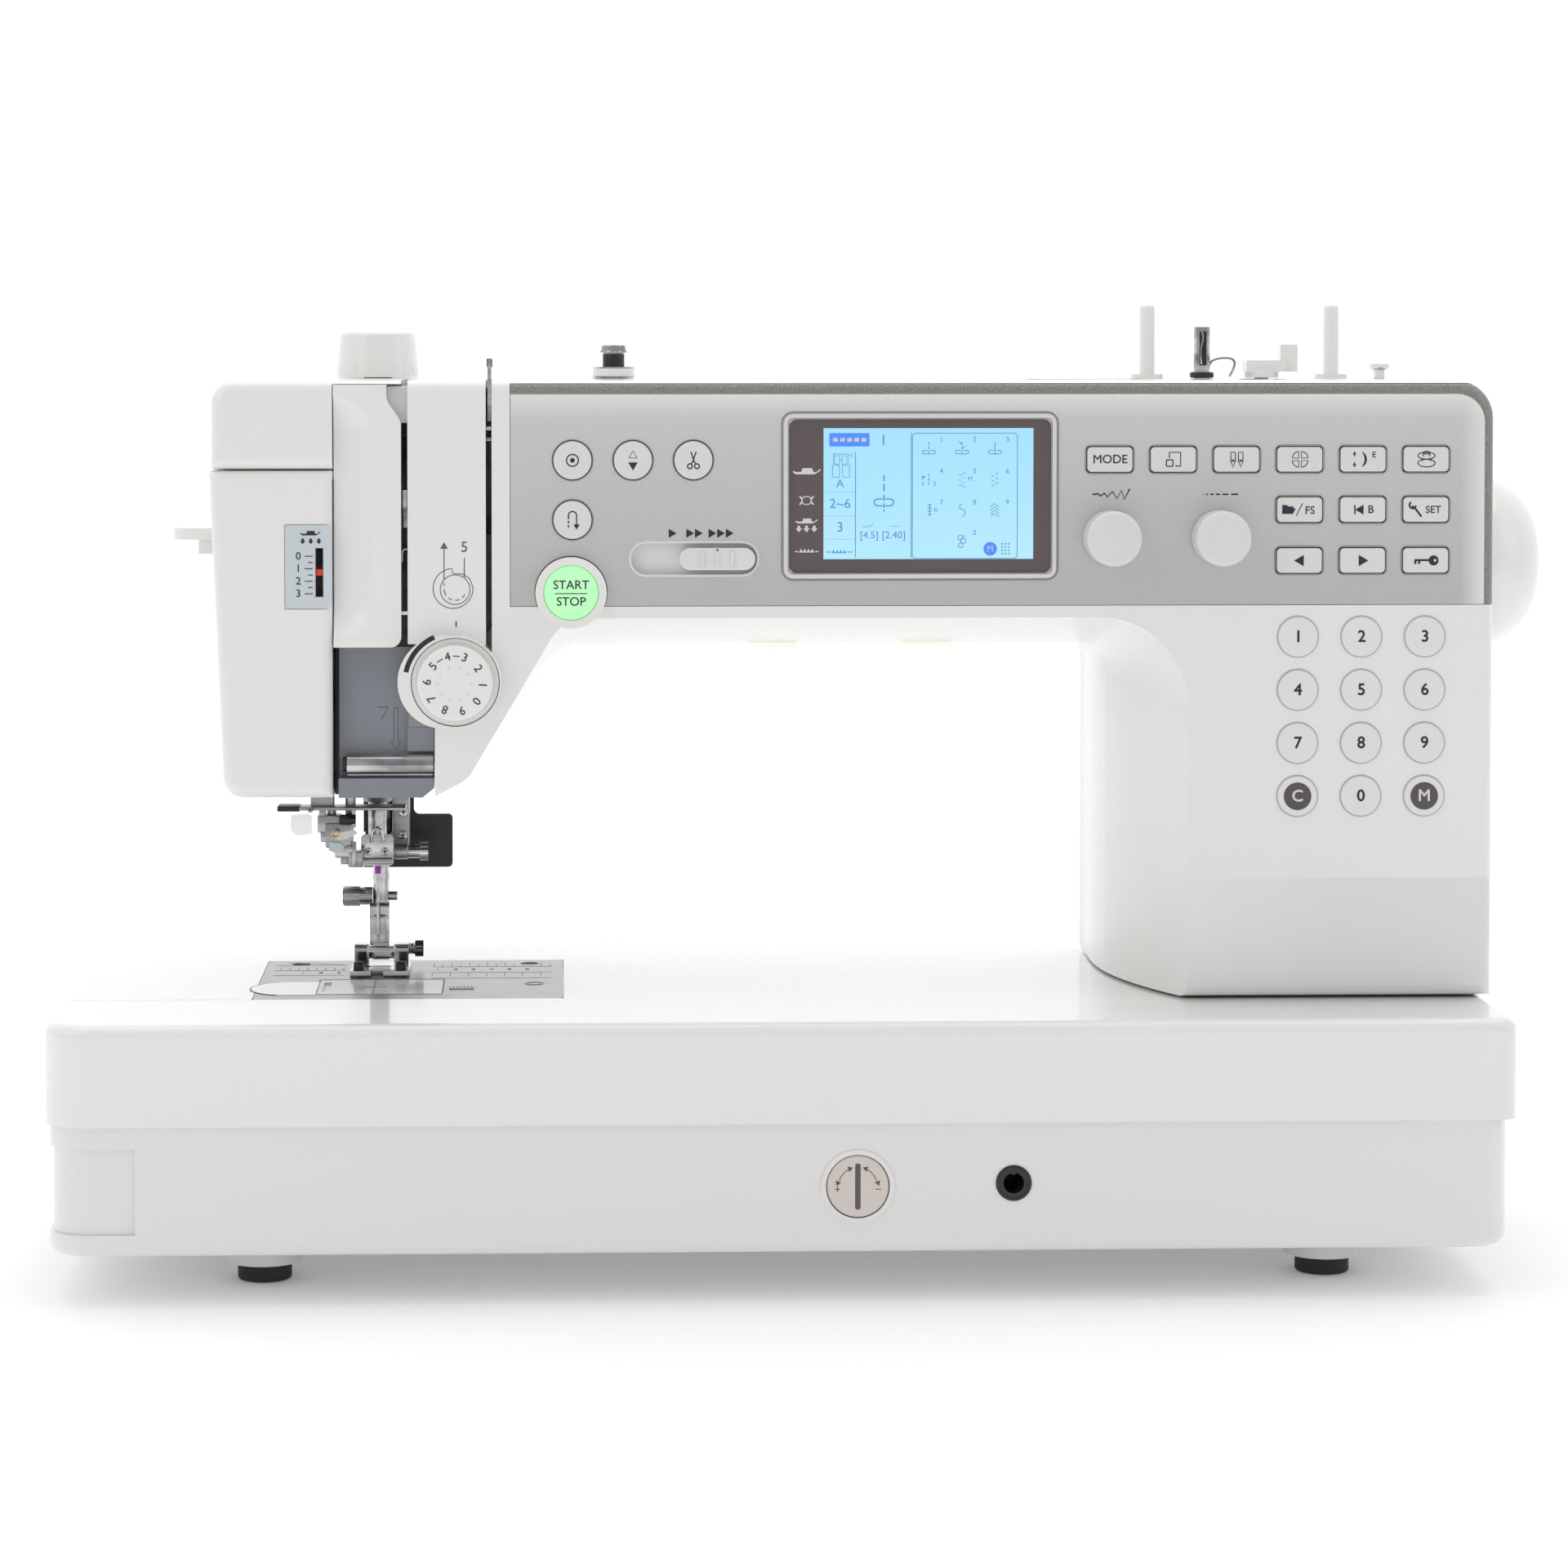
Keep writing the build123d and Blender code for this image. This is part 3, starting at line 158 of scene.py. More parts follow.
def plasticFinish(name, light, dark, rough, grain=0.03, coat=0.0, bumps=0.05):
    # moulded plastic: faint tone clouds, uneven gloss and a fine mould grain
    finish = Coat(name)
    clouds = finish.noise(14.0, 3.0)
    finish.put(Base_Color=finish.blend(clouds, rgb(*dark), rgb(*light)))
    finish.put(Roughness=(finish.noise(60.0, 3.0) - 0.5) * grain * 4.0 + rough)
    finish.put(Coat_Weight=coat, Coat_Roughness=0.08)
    finish.bump(finish.noise(900.0, 2.0), bumps, 0.0002)
    return finish.material


def shellFinish(name, light, dark, rough, coat, facetShade=False):
    # gloss white moulding with painted shade that greys it a little towards the floor, with handling marks
    # in its gloss
    finish = Coat(name)
    # painted shade: the tone darkens towards the floor
    rise = (finish.axis("Z") * 6.0).clip()
    clouds = finish.noise(9.0, 3.0)
    tone = finish.blend((rise * 0.85 + clouds * 0.15).clip(), rgb(*dark), rgb(*light))
    # painted shade: darker colour on the column's foot, where it leans in and sees less light
    if facetShade:  # the foot of the column leans in a little and sees less light
        step = ((0.134 - finish.axis("Z")) * 900.0).clip() * ((finish.axis("X") - 0.112) * 16.0).clip()
        tone = finish.blend(step * 0.55, tone, rgb(0.74, 0.735, 0.73))
    finish.put(Base_Color=tone, Coat_Weight=coat, Coat_Roughness=0.06)
    finish.put(Roughness=finish.noise(45.0, 4.0, 0.6) * 0.1 + rough)
    finish.bump(finish.noise(700.0, 2.0), 0.04, 0.0002)
    return finish.material


def metalFinish(name, light, dark, rough=0.25, stretch=(1.0, 1.0, 1.0), scale=900.0, bumps=0.1, depth=1.0):
    # metal: fine directional grain in colour, gloss and relief, over broader painted light and dark
    # reflections in its colour
    finish = Coat(name)
    lines = finish.noise(scale, 3.0, 0.6, stretch)
    # painted reflections: broad light and dark patches in the colour; depth sets how strong they are
    paintedReflections = ((finish.noise(260.0, 1.0, 0.5, (0.15, 1.0, 1.0)) - 0.5) * 2.8 * depth + 0.5).clip()
    finish.put(Base_Color=finish.blend((lines * 0.35 + paintedReflections * 0.65).clip(), rgb(*dark), rgb(*light)),
               Metallic=1.0)
    finish.put(Roughness=(finish.noise(120.0, 2.0) - 0.5) * 0.12 + rough)
    finish.bump(lines, bumps, 0.00015)
    return finish.material


silverLook = {
    # painted light on the panel: the dark band on the bevel is a painted dark reflection, the bright band
    # under it a painted highlight, and the tone from top to foot painted shade
    "corner": 0.013,  # round of the panel's outer corner
    "edge": 0.0036,  # dark bevelled band along the top and the right
    "shine": 0.0115,  # where the bright band under it ends
    "dark": (0.20, 0.185, 0.17),
    "paintedHighlight": (0.93, 0.93, 0.92),
    "top": (0.70, 0.70, 0.69),
    "foot": (0.52, 0.515, 0.51),
}


def silverFinish():
    # silver lacquer with metal flakes, a painted dark reflection on its bevelled edge, a painted highlight
    # under it and painted shade that deepens its tone towards its foot
    look = silverLook
    finish = Coat("silverLacquer")
    low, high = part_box("control_panel")
    rise = ((finish.axis("Z") - low.z) * (1.0 / (high.z - low.z))).clip()
    outX = (finish.axis("X") - (high.x - look["corner"])).over(0.0)
    outZ = (finish.axis("Z") - (high.z - look["corner"])).over(0.0)
    inside = look["corner"] - (outX * outX + outZ * outZ) ** 0.5
    flakes = finish.noise(2600.0, 2.0, 0.7)
    # painted shade: the tone deepens towards the panel's foot
    base = finish.blend(rise, rgb(*look["foot"]), rgb(*look["top"]))
    # painted highlight: bright band just inside the bevel
    highlightMask = ((look["shine"] - inside) * (1.0 / (look["shine"] - look["edge"]))).clip()
    base = finish.blend(highlightMask * 0.9, base, rgb(*look["paintedHighlight"]))
    # painted dark reflection along the bevel
    base = finish.blend(((look["edge"] - inside) * 4000.0).clip(), base, rgb(*look["dark"]))
    shine = finish.blend(((flakes - 0.5) * 1.2 + 0.12).clip(), base, rgb(0.86, 0.86, 0.87))
    finish.put(Base_Color=shine, Metallic=0.3, Coat_Weight=0.25, Coat_Roughness=0.15)
    finish.put(Roughness=0.46 - flakes * 0.1)
    finish.bump(finish.noise(1800.0, 2.0), 0.05, 0.0002)
    return finish.material


def clearFinish(name, tint, rough=0.06, alpha=0.32):
    # clear moulding: see-through, with faint swirls in its gloss
    finish = Coat(name)
    clouds = finish.noise(40.0, 2.0)
    finish.put(Base_Color=finish.blend(clouds, rgb(*tint), rgb(0.95, 0.97, 0.98)))
    finish.put(Roughness=clouds * 0.1 + rough, Alpha=clouds * 0.06 + alpha)
    finish.put(Specular_IOR_Level=0.7)
    return finish.material


def litFinish(name, colour, deep, power, falloff):
    # lit plastic: the glow fades a little in soft clouds
    finish = Coat(name)
    clouds = finish.noise(falloff, 2.0)
    tone = finish.blend(clouds, rgb(*deep), rgb(*colour))
    finish.put(Base_Color=tone, Emission_Color=tone, Emission_Strength=power)
    finish.put(Roughness=clouds * 0.1 + 0.18)
    return finish.material


def screenFinish():
    # lit liquid crystal: a fine dot raster over a soft blue glow, paler towards its foot
    finish = Coat("screenGlow")
    low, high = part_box("display_window")
    rise = ((finish.axis("Z") - low.z) * (1.0 / (high.z - low.z))).clip()
    clouds = finish.noise(30.0, 2.0)
    tone = finish.blend((rise * 0.7 + clouds * 0.3).clip(), rgb(0.50, 0.86, 1.0), rgb(0.36, 0.74, 0.97))
    raster = finish.noise(3200.0, 1.0)
    tone = finish.blend((raster * 0.16).clip(), tone, rgb(0.25, 0.62, 0.9))
    finish.put(Base_Color=rgb(0.05, 0.08, 0.1), Emission_Color=tone, Emission_Strength=0.92)
    finish.put(Roughness=clouds * 0.08 + 0.2)
    return finish.material


finishes = {
    "shell": shellFinish("glossShell", (0.91, 0.895, 0.88), (0.81, 0.80, 0.79), 0.16, 0.5),
    "tray": shellFinish("trayShell", (0.84, 0.83, 0.82), (0.79, 0.78, 0.775), 0.2, 0.35),
    "keys": plasticFinish("keyCaps", (0.82, 0.815, 0.81), (0.76, 0.755, 0.75), 0.28, 0.03, 0.1),
    "numberCaps": plasticFinish("numberCaps", (0.86, 0.86, 0.85), (0.80, 0.80, 0.79), 0.4),
    "silver": silverFinish(),
    "greyPanel": plasticFinish("greyLacquer", (0.27, 0.285, 0.32), (0.21, 0.225, 0.255), 0.3, 0.04, 0.2),
    "steel": metalFinish("brushedSteel", (0.66, 0.66, 0.66), (0.20, 0.20, 0.21), 0.3, (1.0, 12.0, 12.0)),
    "plate": metalFinish("plateSteel", (0.43, 0.44, 0.45), (0.33, 0.34, 0.35), 0.34, (1.0, 14.0, 1.0),
                         900.0, 0.1, 0.3),
    "chrome": metalFinish("chromePlate", (0.84, 0.84, 0.84), (0.20, 0.20, 0.21), 0.12, (1.0, 1.0, 1.0),
                          200.0, 0.02),
    "cast": metalFinish("castAluminium", (0.55, 0.55, 0.56), (0.36, 0.36, 0.37), 0.5, (1.0, 1.0, 1.0),
                        400.0, 0.4),
    "zinc": metalFinish("zincSteel", (0.48, 0.48, 0.50), (0.30, 0.30, 0.32), 0.4, (1.0, 1.0, 1.0), 300.0,
                        0.1),
    "black": plasticFinish("blackPlastic", (0.022, 0.022, 0.024), (0.012, 0.012, 0.014), 0.35, 0.05, 0.0),
    "rubber": plasticFinish("footRubber", (0.03, 0.03, 0.032), (0.012, 0.012, 0.013), 0.7, 0.05, 0.0, 0.4),
    "belt": plasticFinish("beltRubber", (0.03, 0.03, 0.03), (0.015, 0.015, 0.015), 0.75, 0.05, 0.0, 0.5),
    "beige": plasticFinish("warmGrey", (0.72, 0.66, 0.61), (0.64, 0.58, 0.54), 0.36, 0.04, 0.1),
    "red": plasticFinish("signalRed", (0.85, 0.06, 0.03), (0.72, 0.04, 0.02), 0.35),
    "clear": clearFinish("clearCover", (0.80, 0.88, 0.90)),
    "coverGlass": clearFinish("bobbinGlass", (0.66, 0.71, 0.69), 0.08, 0.7),
    "frontShell": shellFinish("frontShell", (0.91, 0.895, 0.88), (0.81, 0.80, 0.79), 0.16, 0.5, True),
    "bezel": plasticFinish("screenFrame", (0.135, 0.105, 0.105), (0.105, 0.082, 0.083), 0.16, 0.02, 0.5),
    "ink": plasticFinish("darkInk", (0.018, 0.032, 0.045), (0.01, 0.02, 0.03), 0.5),
    "softInk": plasticFinish("greyInk", (0.13, 0.15, 0.17), (0.09, 0.10, 0.12), 0.5),
    "paleInk": plasticFinish("paleInk", (0.80, 0.77, 0.76), (0.70, 0.68, 0.67), 0.5),
    "disc": plasticFinish("brownDisc", (0.12, 0.10, 0.10), (0.09, 0.075, 0.078), 0.4),
    # bright finish: painted highlight on the screen's rim; also the colour of the slider's lip and the rear
    # plate
    "rim": plasticFinish("screenRim", (0.80, 0.80, 0.79), (0.70, 0.70, 0.69), 0.25, 0.03, 0.4),
    # painted shade: pale and dark fine lines standing for the gaps round the keys and the screen's rim
    "paleGapShade": plasticFinish("paleGapShade", (0.60, 0.575, 0.555), (0.52, 0.50, 0.48), 0.5),
    "gapShade": plasticFinish("grooveShade", (0.34, 0.335, 0.33), (0.26, 0.255, 0.25), 0.5),
    "window": plasticFinish("paleWindow", (0.68, 0.735, 0.77), (0.62, 0.68, 0.72), 0.14, 0.03, 0.5),
    "green": litFinish("greenLamp", (0.50, 0.93, 0.52), (0.40, 0.84, 0.44), 0.3, 40.0),
    "screen": screenFinish(),
    "screenInk": litFinish("screenInk", (0.09, 0.26, 0.55), (0.07, 0.22, 0.48), 0.35, 90.0),
    "screenLabel": litFinish("screenLabel", (0.07, 0.22, 0.85), (0.05, 0.18, 0.72), 0.6, 90.0),
    "purple": plasticFinish("shankPurple", (0.55, 0.03, 0.6), (0.42, 0.02, 0.5), 0.3, 0.03, 0.2),
    "gold": metalFinish("goldScrew", (0.85, 0.55, 0.20), (0.65, 0.40, 0.14), 0.25),
    "lamp": litFinish("lampLens", (0.95, 0.95, 0.88), (0.85, 0.86, 0.80), 0.4, 60.0),
}
print("finishes:", len(finishes))

nodeFinish = {
    "base_tray": "tray", "bed_cover": "shell", "rubber_feet": "rubber", "front_cover": "frontShell",
    "rear_cover": "shell", "control_panel": "silver", "display_window": "bezel", "face_cover": "shell",
    "thread_cover": "shell", "thread_panel": "greyPanel",
    "needle_plate": "plate", "bobbin_cover": "coverGlass",
    "inner_frame": "cast", "drive_motor": "zinc", "drive_belts": "belt", "sockets": "black",
    "spool_pins": "shell", "thread_guides": "chrome", "handwheel": "shell", "drive_shaft": "steel",
    "motor_pulley": "steel", "lower_shaft": "steel", "rotary_hook": "steel", "bobbin": "clear",
    "needle_bar": "chrome", "needle": "chrome", "take_up_lever": "chrome", "feed_dogs": "steel",
    "presser_bar": "chrome", "presser_foot": "chrome", "needle_threader": "steel", "lifter_lever": "black",
    "pressure_dial": "shell", "pressure_pointer": "red", "tension_dial": "shell", "speed_slider": "keys",
    "width_knob": "keys", "length_knob": "keys", "balance_dial": "beige", "power_switch": "black",
    "winder_spindle": "chrome", "winder_stopper": "shell",
    "start_button": "green", "number_keys": "numberCaps",
}
for name, node in nodes.items():
    node.data.materials.clear()
    node.data.materials.append(finishes[nodeFinish.get(name, "keys")])
print("nodes finished")

bedLow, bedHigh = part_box("bed_cover")
bedMidX = (bedLow.x + bedHigh.x) / 2
bedFront = bedLow.y


def at(x, y, z):
    # millimetres from the bed's middle, its front face and the floor
    return Vector((bedMidX + x * mm, bedFront + y * mm, z * mm))


def freePick():
    if bpy.context.object and bpy.context.object.mode == "EDIT":
        bpy.ops.object.mode_set(mode="OBJECT")
    bpy.ops.object.select_all(action="DESELECT")


def onlyPick(piece):
    freePick()
    piece.select_set(True)
    bpy.context.view_layer.objects.active = piece


def settle(piece):
    # leaves the object at the origin with its place in its mesh
    onlyPick(piece)
    bpy.ops.object.transform_apply(location=True, rotation=True, scale=True)
    return piece


def editFaces(piece, test):
    # edit mode with only the faces that pass the test selected
    onlyPick(piece)
    bpy.ops.object.mode_set(mode="EDIT")
    bpy.ops.mesh.select_mode(type="FACE")
    bpy.ops.mesh.select_all(action="DESELECT")
    mesh = bmesh.from_edit_mesh(piece.data)
    for face in mesh.faces:
        face.select_set(bool(test(face.calc_center_median(), face.normal)))
    bmesh.update_edit_mesh(piece.data)


def insetFaces(piece, test, width, depth):
    # insets the picked faces and moves their middles in or out
    editFaces(piece, test)
    bpy.ops.mesh.inset(thickness=width * mm, depth=depth * mm)
    bpy.ops.object.mode_set(mode="OBJECT")
    return piece


def softEdges(piece, width, segments=3, angle=30.0):
    onlyPick(piece)
    modifier = piece.modifiers.new("edgeRound", "BEVEL")
    modifier.width = width * mm
    modifier.segments = segments
    modifier.limit_method = "ANGLE"
    modifier.angle_limit = math.radians(angle)
    bpy.ops.object.modifier_apply(modifier=modifier.name)
    return piece


def finishPiece(piece, name, body, finish):
    # gives a piece its name, smooth shading, finish and the body it rides on
    settle(piece)
    bpy.ops.object.shade_smooth_by_angle(angle=math.radians(35.0))
    piece.name = name
    piece.data.name = name
    piece.data.materials.clear()
    piece.data.materials.append(finishes[finish])
    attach(piece, body)
    return piece


def newBlock(low, high, round=0.0):
    # block between two corners in millimetres, its edges rounded
    freePick()
    first, last = at(*low), at(*high)
    bpy.ops.mesh.primitive_cube_add(size=1.0, location=(first + last) / 2)
    piece = bpy.context.object
    piece.scale = last - first
    settle(piece)
    return softEdges(piece, round) if round else piece


def newRod(start, end, radius, round=0.0, sides=32):
    # cylinder between two places in millimetres, its rims rounded
    freePick()
    first, last = at(*start), at(*end)
    line = last - first
    turn = line.to_track_quat("Z", "Y").to_euler()
    bpy.ops.mesh.primitive_cylinder_add(
        vertices=sides, radius=radius * mm, depth=line.length, location=(first + last) / 2, rotation=turn
    )
    piece = settle(bpy.context.object)
    return softEdges(piece, round, 2, 60.0) if round else piece


def addBlock(name, body, finish, *shape):
    return finishPiece(newBlock(*shape), name, body, finish)


def addRod(name, body, finish, *shape):
    return finishPiece(newRod(*shape), name, body, finish)


def joinAll(pieces):
    freePick()
    for piece in pieces:
        piece.select_set(True)
    bpy.context.view_layer.objects.active = pieces[0]
    bpy.ops.object.join()
    return bpy.context.object


def newWire(points, radius, round=True, closed=False):
    # bent wire through places in millimetres
    data = bpy.data.curves.new("wire", "CURVE")
    data.dimensions = "3D"
    data.bevel_depth = radius * mm
    data.bevel_resolution = 3
    data.resolution_u = 8
    data.use_fill_caps = True
    spline = data.splines.new("NURBS" if round else "POLY")
    spline.points.add(len(points) - 1)
    for point, place in zip(spline.points, points):
        point.co = (*at(*place), 1.0)
    spline.use_cyclic_u = closed
    if round:
        spline.order_u = 3
        spline.use_endpoint_u = not closed
    piece = bpy.data.objects.new("wire", data)
    bpy.context.scene.collection.objects.link(piece)
    onlyPick(piece)
    bpy.ops.object.convert(target="MESH")
    return bpy.context.object


facings = {"front": (0.0, 0.0), "top": (-90.0, 0.0), "right": (0.0, 90.0), "back": (0.0, 180.0)}
markDepth = 0.06


def stand(piece, centre, facing):
    # turns a flat mark to its face and puts it at its centre
    tip, turn = facings[facing]
    piece.rotation_euler = (math.radians(tip), 0.0, math.radians(turn))
    piece.location = at(*centre)
    return settle(piece)


def lineMark(lines, centre, width, facing="front", depth=markDepth):
    # flat lines on a face; points are (across, up) in millimetres from the centre
    data = bpy.data.curves.new("lines", "CURVE")
    data.dimensions = "3D"
    data.bevel_depth = width * mm / 2
    data.bevel_resolution = 1
    data.use_fill_caps = True
    for line in lines:
        closed = line[0] == line[-1] and len(line) > 2
        points = line[:-1] if closed else line
        spline = data.splines.new("POLY")
        spline.points.add(len(points) - 1)
        spline.use_cyclic_u = closed
        for point, (across, up) in zip(spline.points, points):
            point.co = (across * mm, 0.0, up * mm, 1.0)
    piece = bpy.data.objects.new("lines", data)
    bpy.context.scene.collection.objects.link(piece)
    onlyPick(piece)
    bpy.ops.object.convert(target="MESH")
    piece = bpy.context.object
    piece.scale = (1.0, depth / (width / 2), 1.0)
    settle(piece)
    return stand(piece, centre, facing)


def flatMark(shapes, centre, facing="front", depth=markDepth):
    # flat filled areas; each shape is a list of (across, up) points
    data = bpy.data.curves.new("areas", "CURVE")
    data.dimensions = "2D"
    data.fill_mode = "BOTH"
    data.extrude = depth  # drawn a thousand times too large, because small curves fill badly
    for shape in shapes:
        spline = data.splines.new("POLY")
        spline.points.add(len(shape) - 1)
        spline.use_cyclic_u = True
        for point, (across, up) in zip(spline.points, shape):
            point.co = (across, up, 0.0, 1.0)
    piece = bpy.data.objects.new("areas", data)
    bpy.context.scene.collection.objects.link(piece)
    onlyPick(piece)
    bpy.ops.object.convert(target="MESH")
    piece = bpy.context.object
    piece.scale = (mm, mm, mm)
    piece.rotation_euler = (math.radians(90.0), 0.0, 0.0)
    settle(piece)
    return stand(piece, centre, facing)


def wordMark(words, centre, height, turn=0.0, facing="front", bold=0.0, depth=markDepth):
    # upright lettering of one capital height, turned about its own middle
    freePick()
    bpy.ops.object.text_add(location=(0, 0, 0))
    piece = bpy.context.object
    piece.data.body = words
    piece.data.size = height / 0.7
    piece.data.align_x = "CENTER"
    piece.data.align_y = "CENTER"
    piece.data.extrude = depth
    piece.data.resolution_u = 4
    bpy.ops.object.convert(target="MESH")
    piece = bpy.context.object
    if bold:  # the same letters again, a hair to each side, for heavier strokes
        strokes = [piece]
        for count, (across, up) in enumerate(((-bold, 0.0), (bold, 0.0), (0.0, bold), (0.0, -bold)), 1):
            twin = bpy.data.objects.new("stroke", piece.data.copy())
            bpy.context.scene.collection.objects.link(twin)
            twin.location = (across, up, 0.002 * count)
            settle(twin)
            strokes.append(twin)
        piece = joinAll(strokes)
    piece.scale = (mm, mm, mm)
    piece.rotation_euler = (0.0, 0.0, math.radians(turn))
    settle(piece)
    piece.rotation_euler = (math.radians(90.0), 0.0, 0.0)
    settle(piece)
    return stand(piece, centre, facing)


def ring(radius, across=0.0, up=0.0, start=0.0, sweep=360.0, squeeze=1.0, steps=28):
    points = []
    for step in range(steps + 1):
        angle = math.radians(start + sweep * step / steps)
        points.append((across + radius * math.cos(angle), up + radius * squeeze * math.sin(angle)))
    if abs(sweep) >= 360.0:
        points[-1] = points[0]
    return points


def frameLine(across, up, width, height, round=0.0):
    # outline of a rectangle, its corners rounded when a radius is given
    halfW, halfH = width / 2, height / 2
    if not round:
        corners = [(-halfW, -halfH), (halfW, -halfH), (halfW, halfH), (-halfW, halfH), (-halfW, -halfH)]
        return [(across + a, up + b) for a, b in corners]
    points = []
    for sideX, sideZ, start in ((1, 1, 0.0), (-1, 1, 90.0), (-1, -1, 180.0), (1, -1, 270.0)):
        centreX, centreZ = across + sideX * (halfW - round), up + sideZ * (halfH - round)
        points += ring(round, centreX, centreZ, start, 90.0, 1.0, 4)
    return points + points[:1]


def wedge(across, up, size, turn, squeeze=1.0):
    # triangle that points towards an angle
    points = []
    for corner in range(3):
        angle = math.radians(turn + corner * 120.0)
        points.append((across + size * math.cos(angle) * squeeze, up + size * math.sin(angle)))
    return points


def shifted(lines, across, up, scale=1.0):
    return [[(a * scale + across, b * scale + up) for a, b in line] for line in lines]


def printMark(name, body, centre, finish, lines=(), width=0.4, areas=(), words=(), facing="front",
              bold=0.03):
    # one printed mark of lines, areas and words, joined in one piece
    made = []
    if lines:
        made.append(lineMark(lines, centre, width, facing))
    if areas:
        made.append(flatMark(areas, centre, facing))
    for text, across, up, height, *turn in words:
        place = (centre[0] + across, centre[1], centre[2] + up)
        if facing == "top":
            place = (centre[0] + across, centre[1] + up, centre[2])
        if facing == "back":
            place = (centre[0] - across, centre[1], centre[2] + up)
        made.append(wordMark(text, place, height, turn[0] if turn else 0.0, facing, bold))
    return finishPiece(joinAll(made), name, body, finish)


def frontOf(node):
    # middle of a node's front face in bed millimetres, for marks that lie on it
    low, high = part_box(node)
    return ((low.x + high.x) / 2 - bedMidX) / mm, (low.y - bedFront) / mm, (low.z + high.z) / 2 / mm


print("tools ready")

panelLook = {
    "front": 44.0,  # front face of the panel and the cover, behind the front of the bed
    "printed": 43.98,  # where its prints lie
    "numberColumns": (176.2, 197.75, 219.3),
    "numberRows": (215.3, 197.3, 179.3, 161.3),
    "roundKeys": {"lock": (-68.8, 275.2), "needle": (-48.5, 275.2), "cutter": (-28.2, 275.2),
                  "reverse": (-68.8, 255.2)},
    "topKeys": (112.2, 275.3),  # first key of the top row
    "lowKeys": (176.5, (258.3, 241.1)),  # first column and the two rows under it
    "keyPitch": 21.44,
}

screenLook = {
    "left": 15.5, "right": 86.4, "low": 241.8, "high": 285.9,  # lit area in bed millimetres
    "proud": 0.35,  # how far the glass stands out of its recess
    "fine": 0.28,  # thin line width
    "bold": 0.5,
}


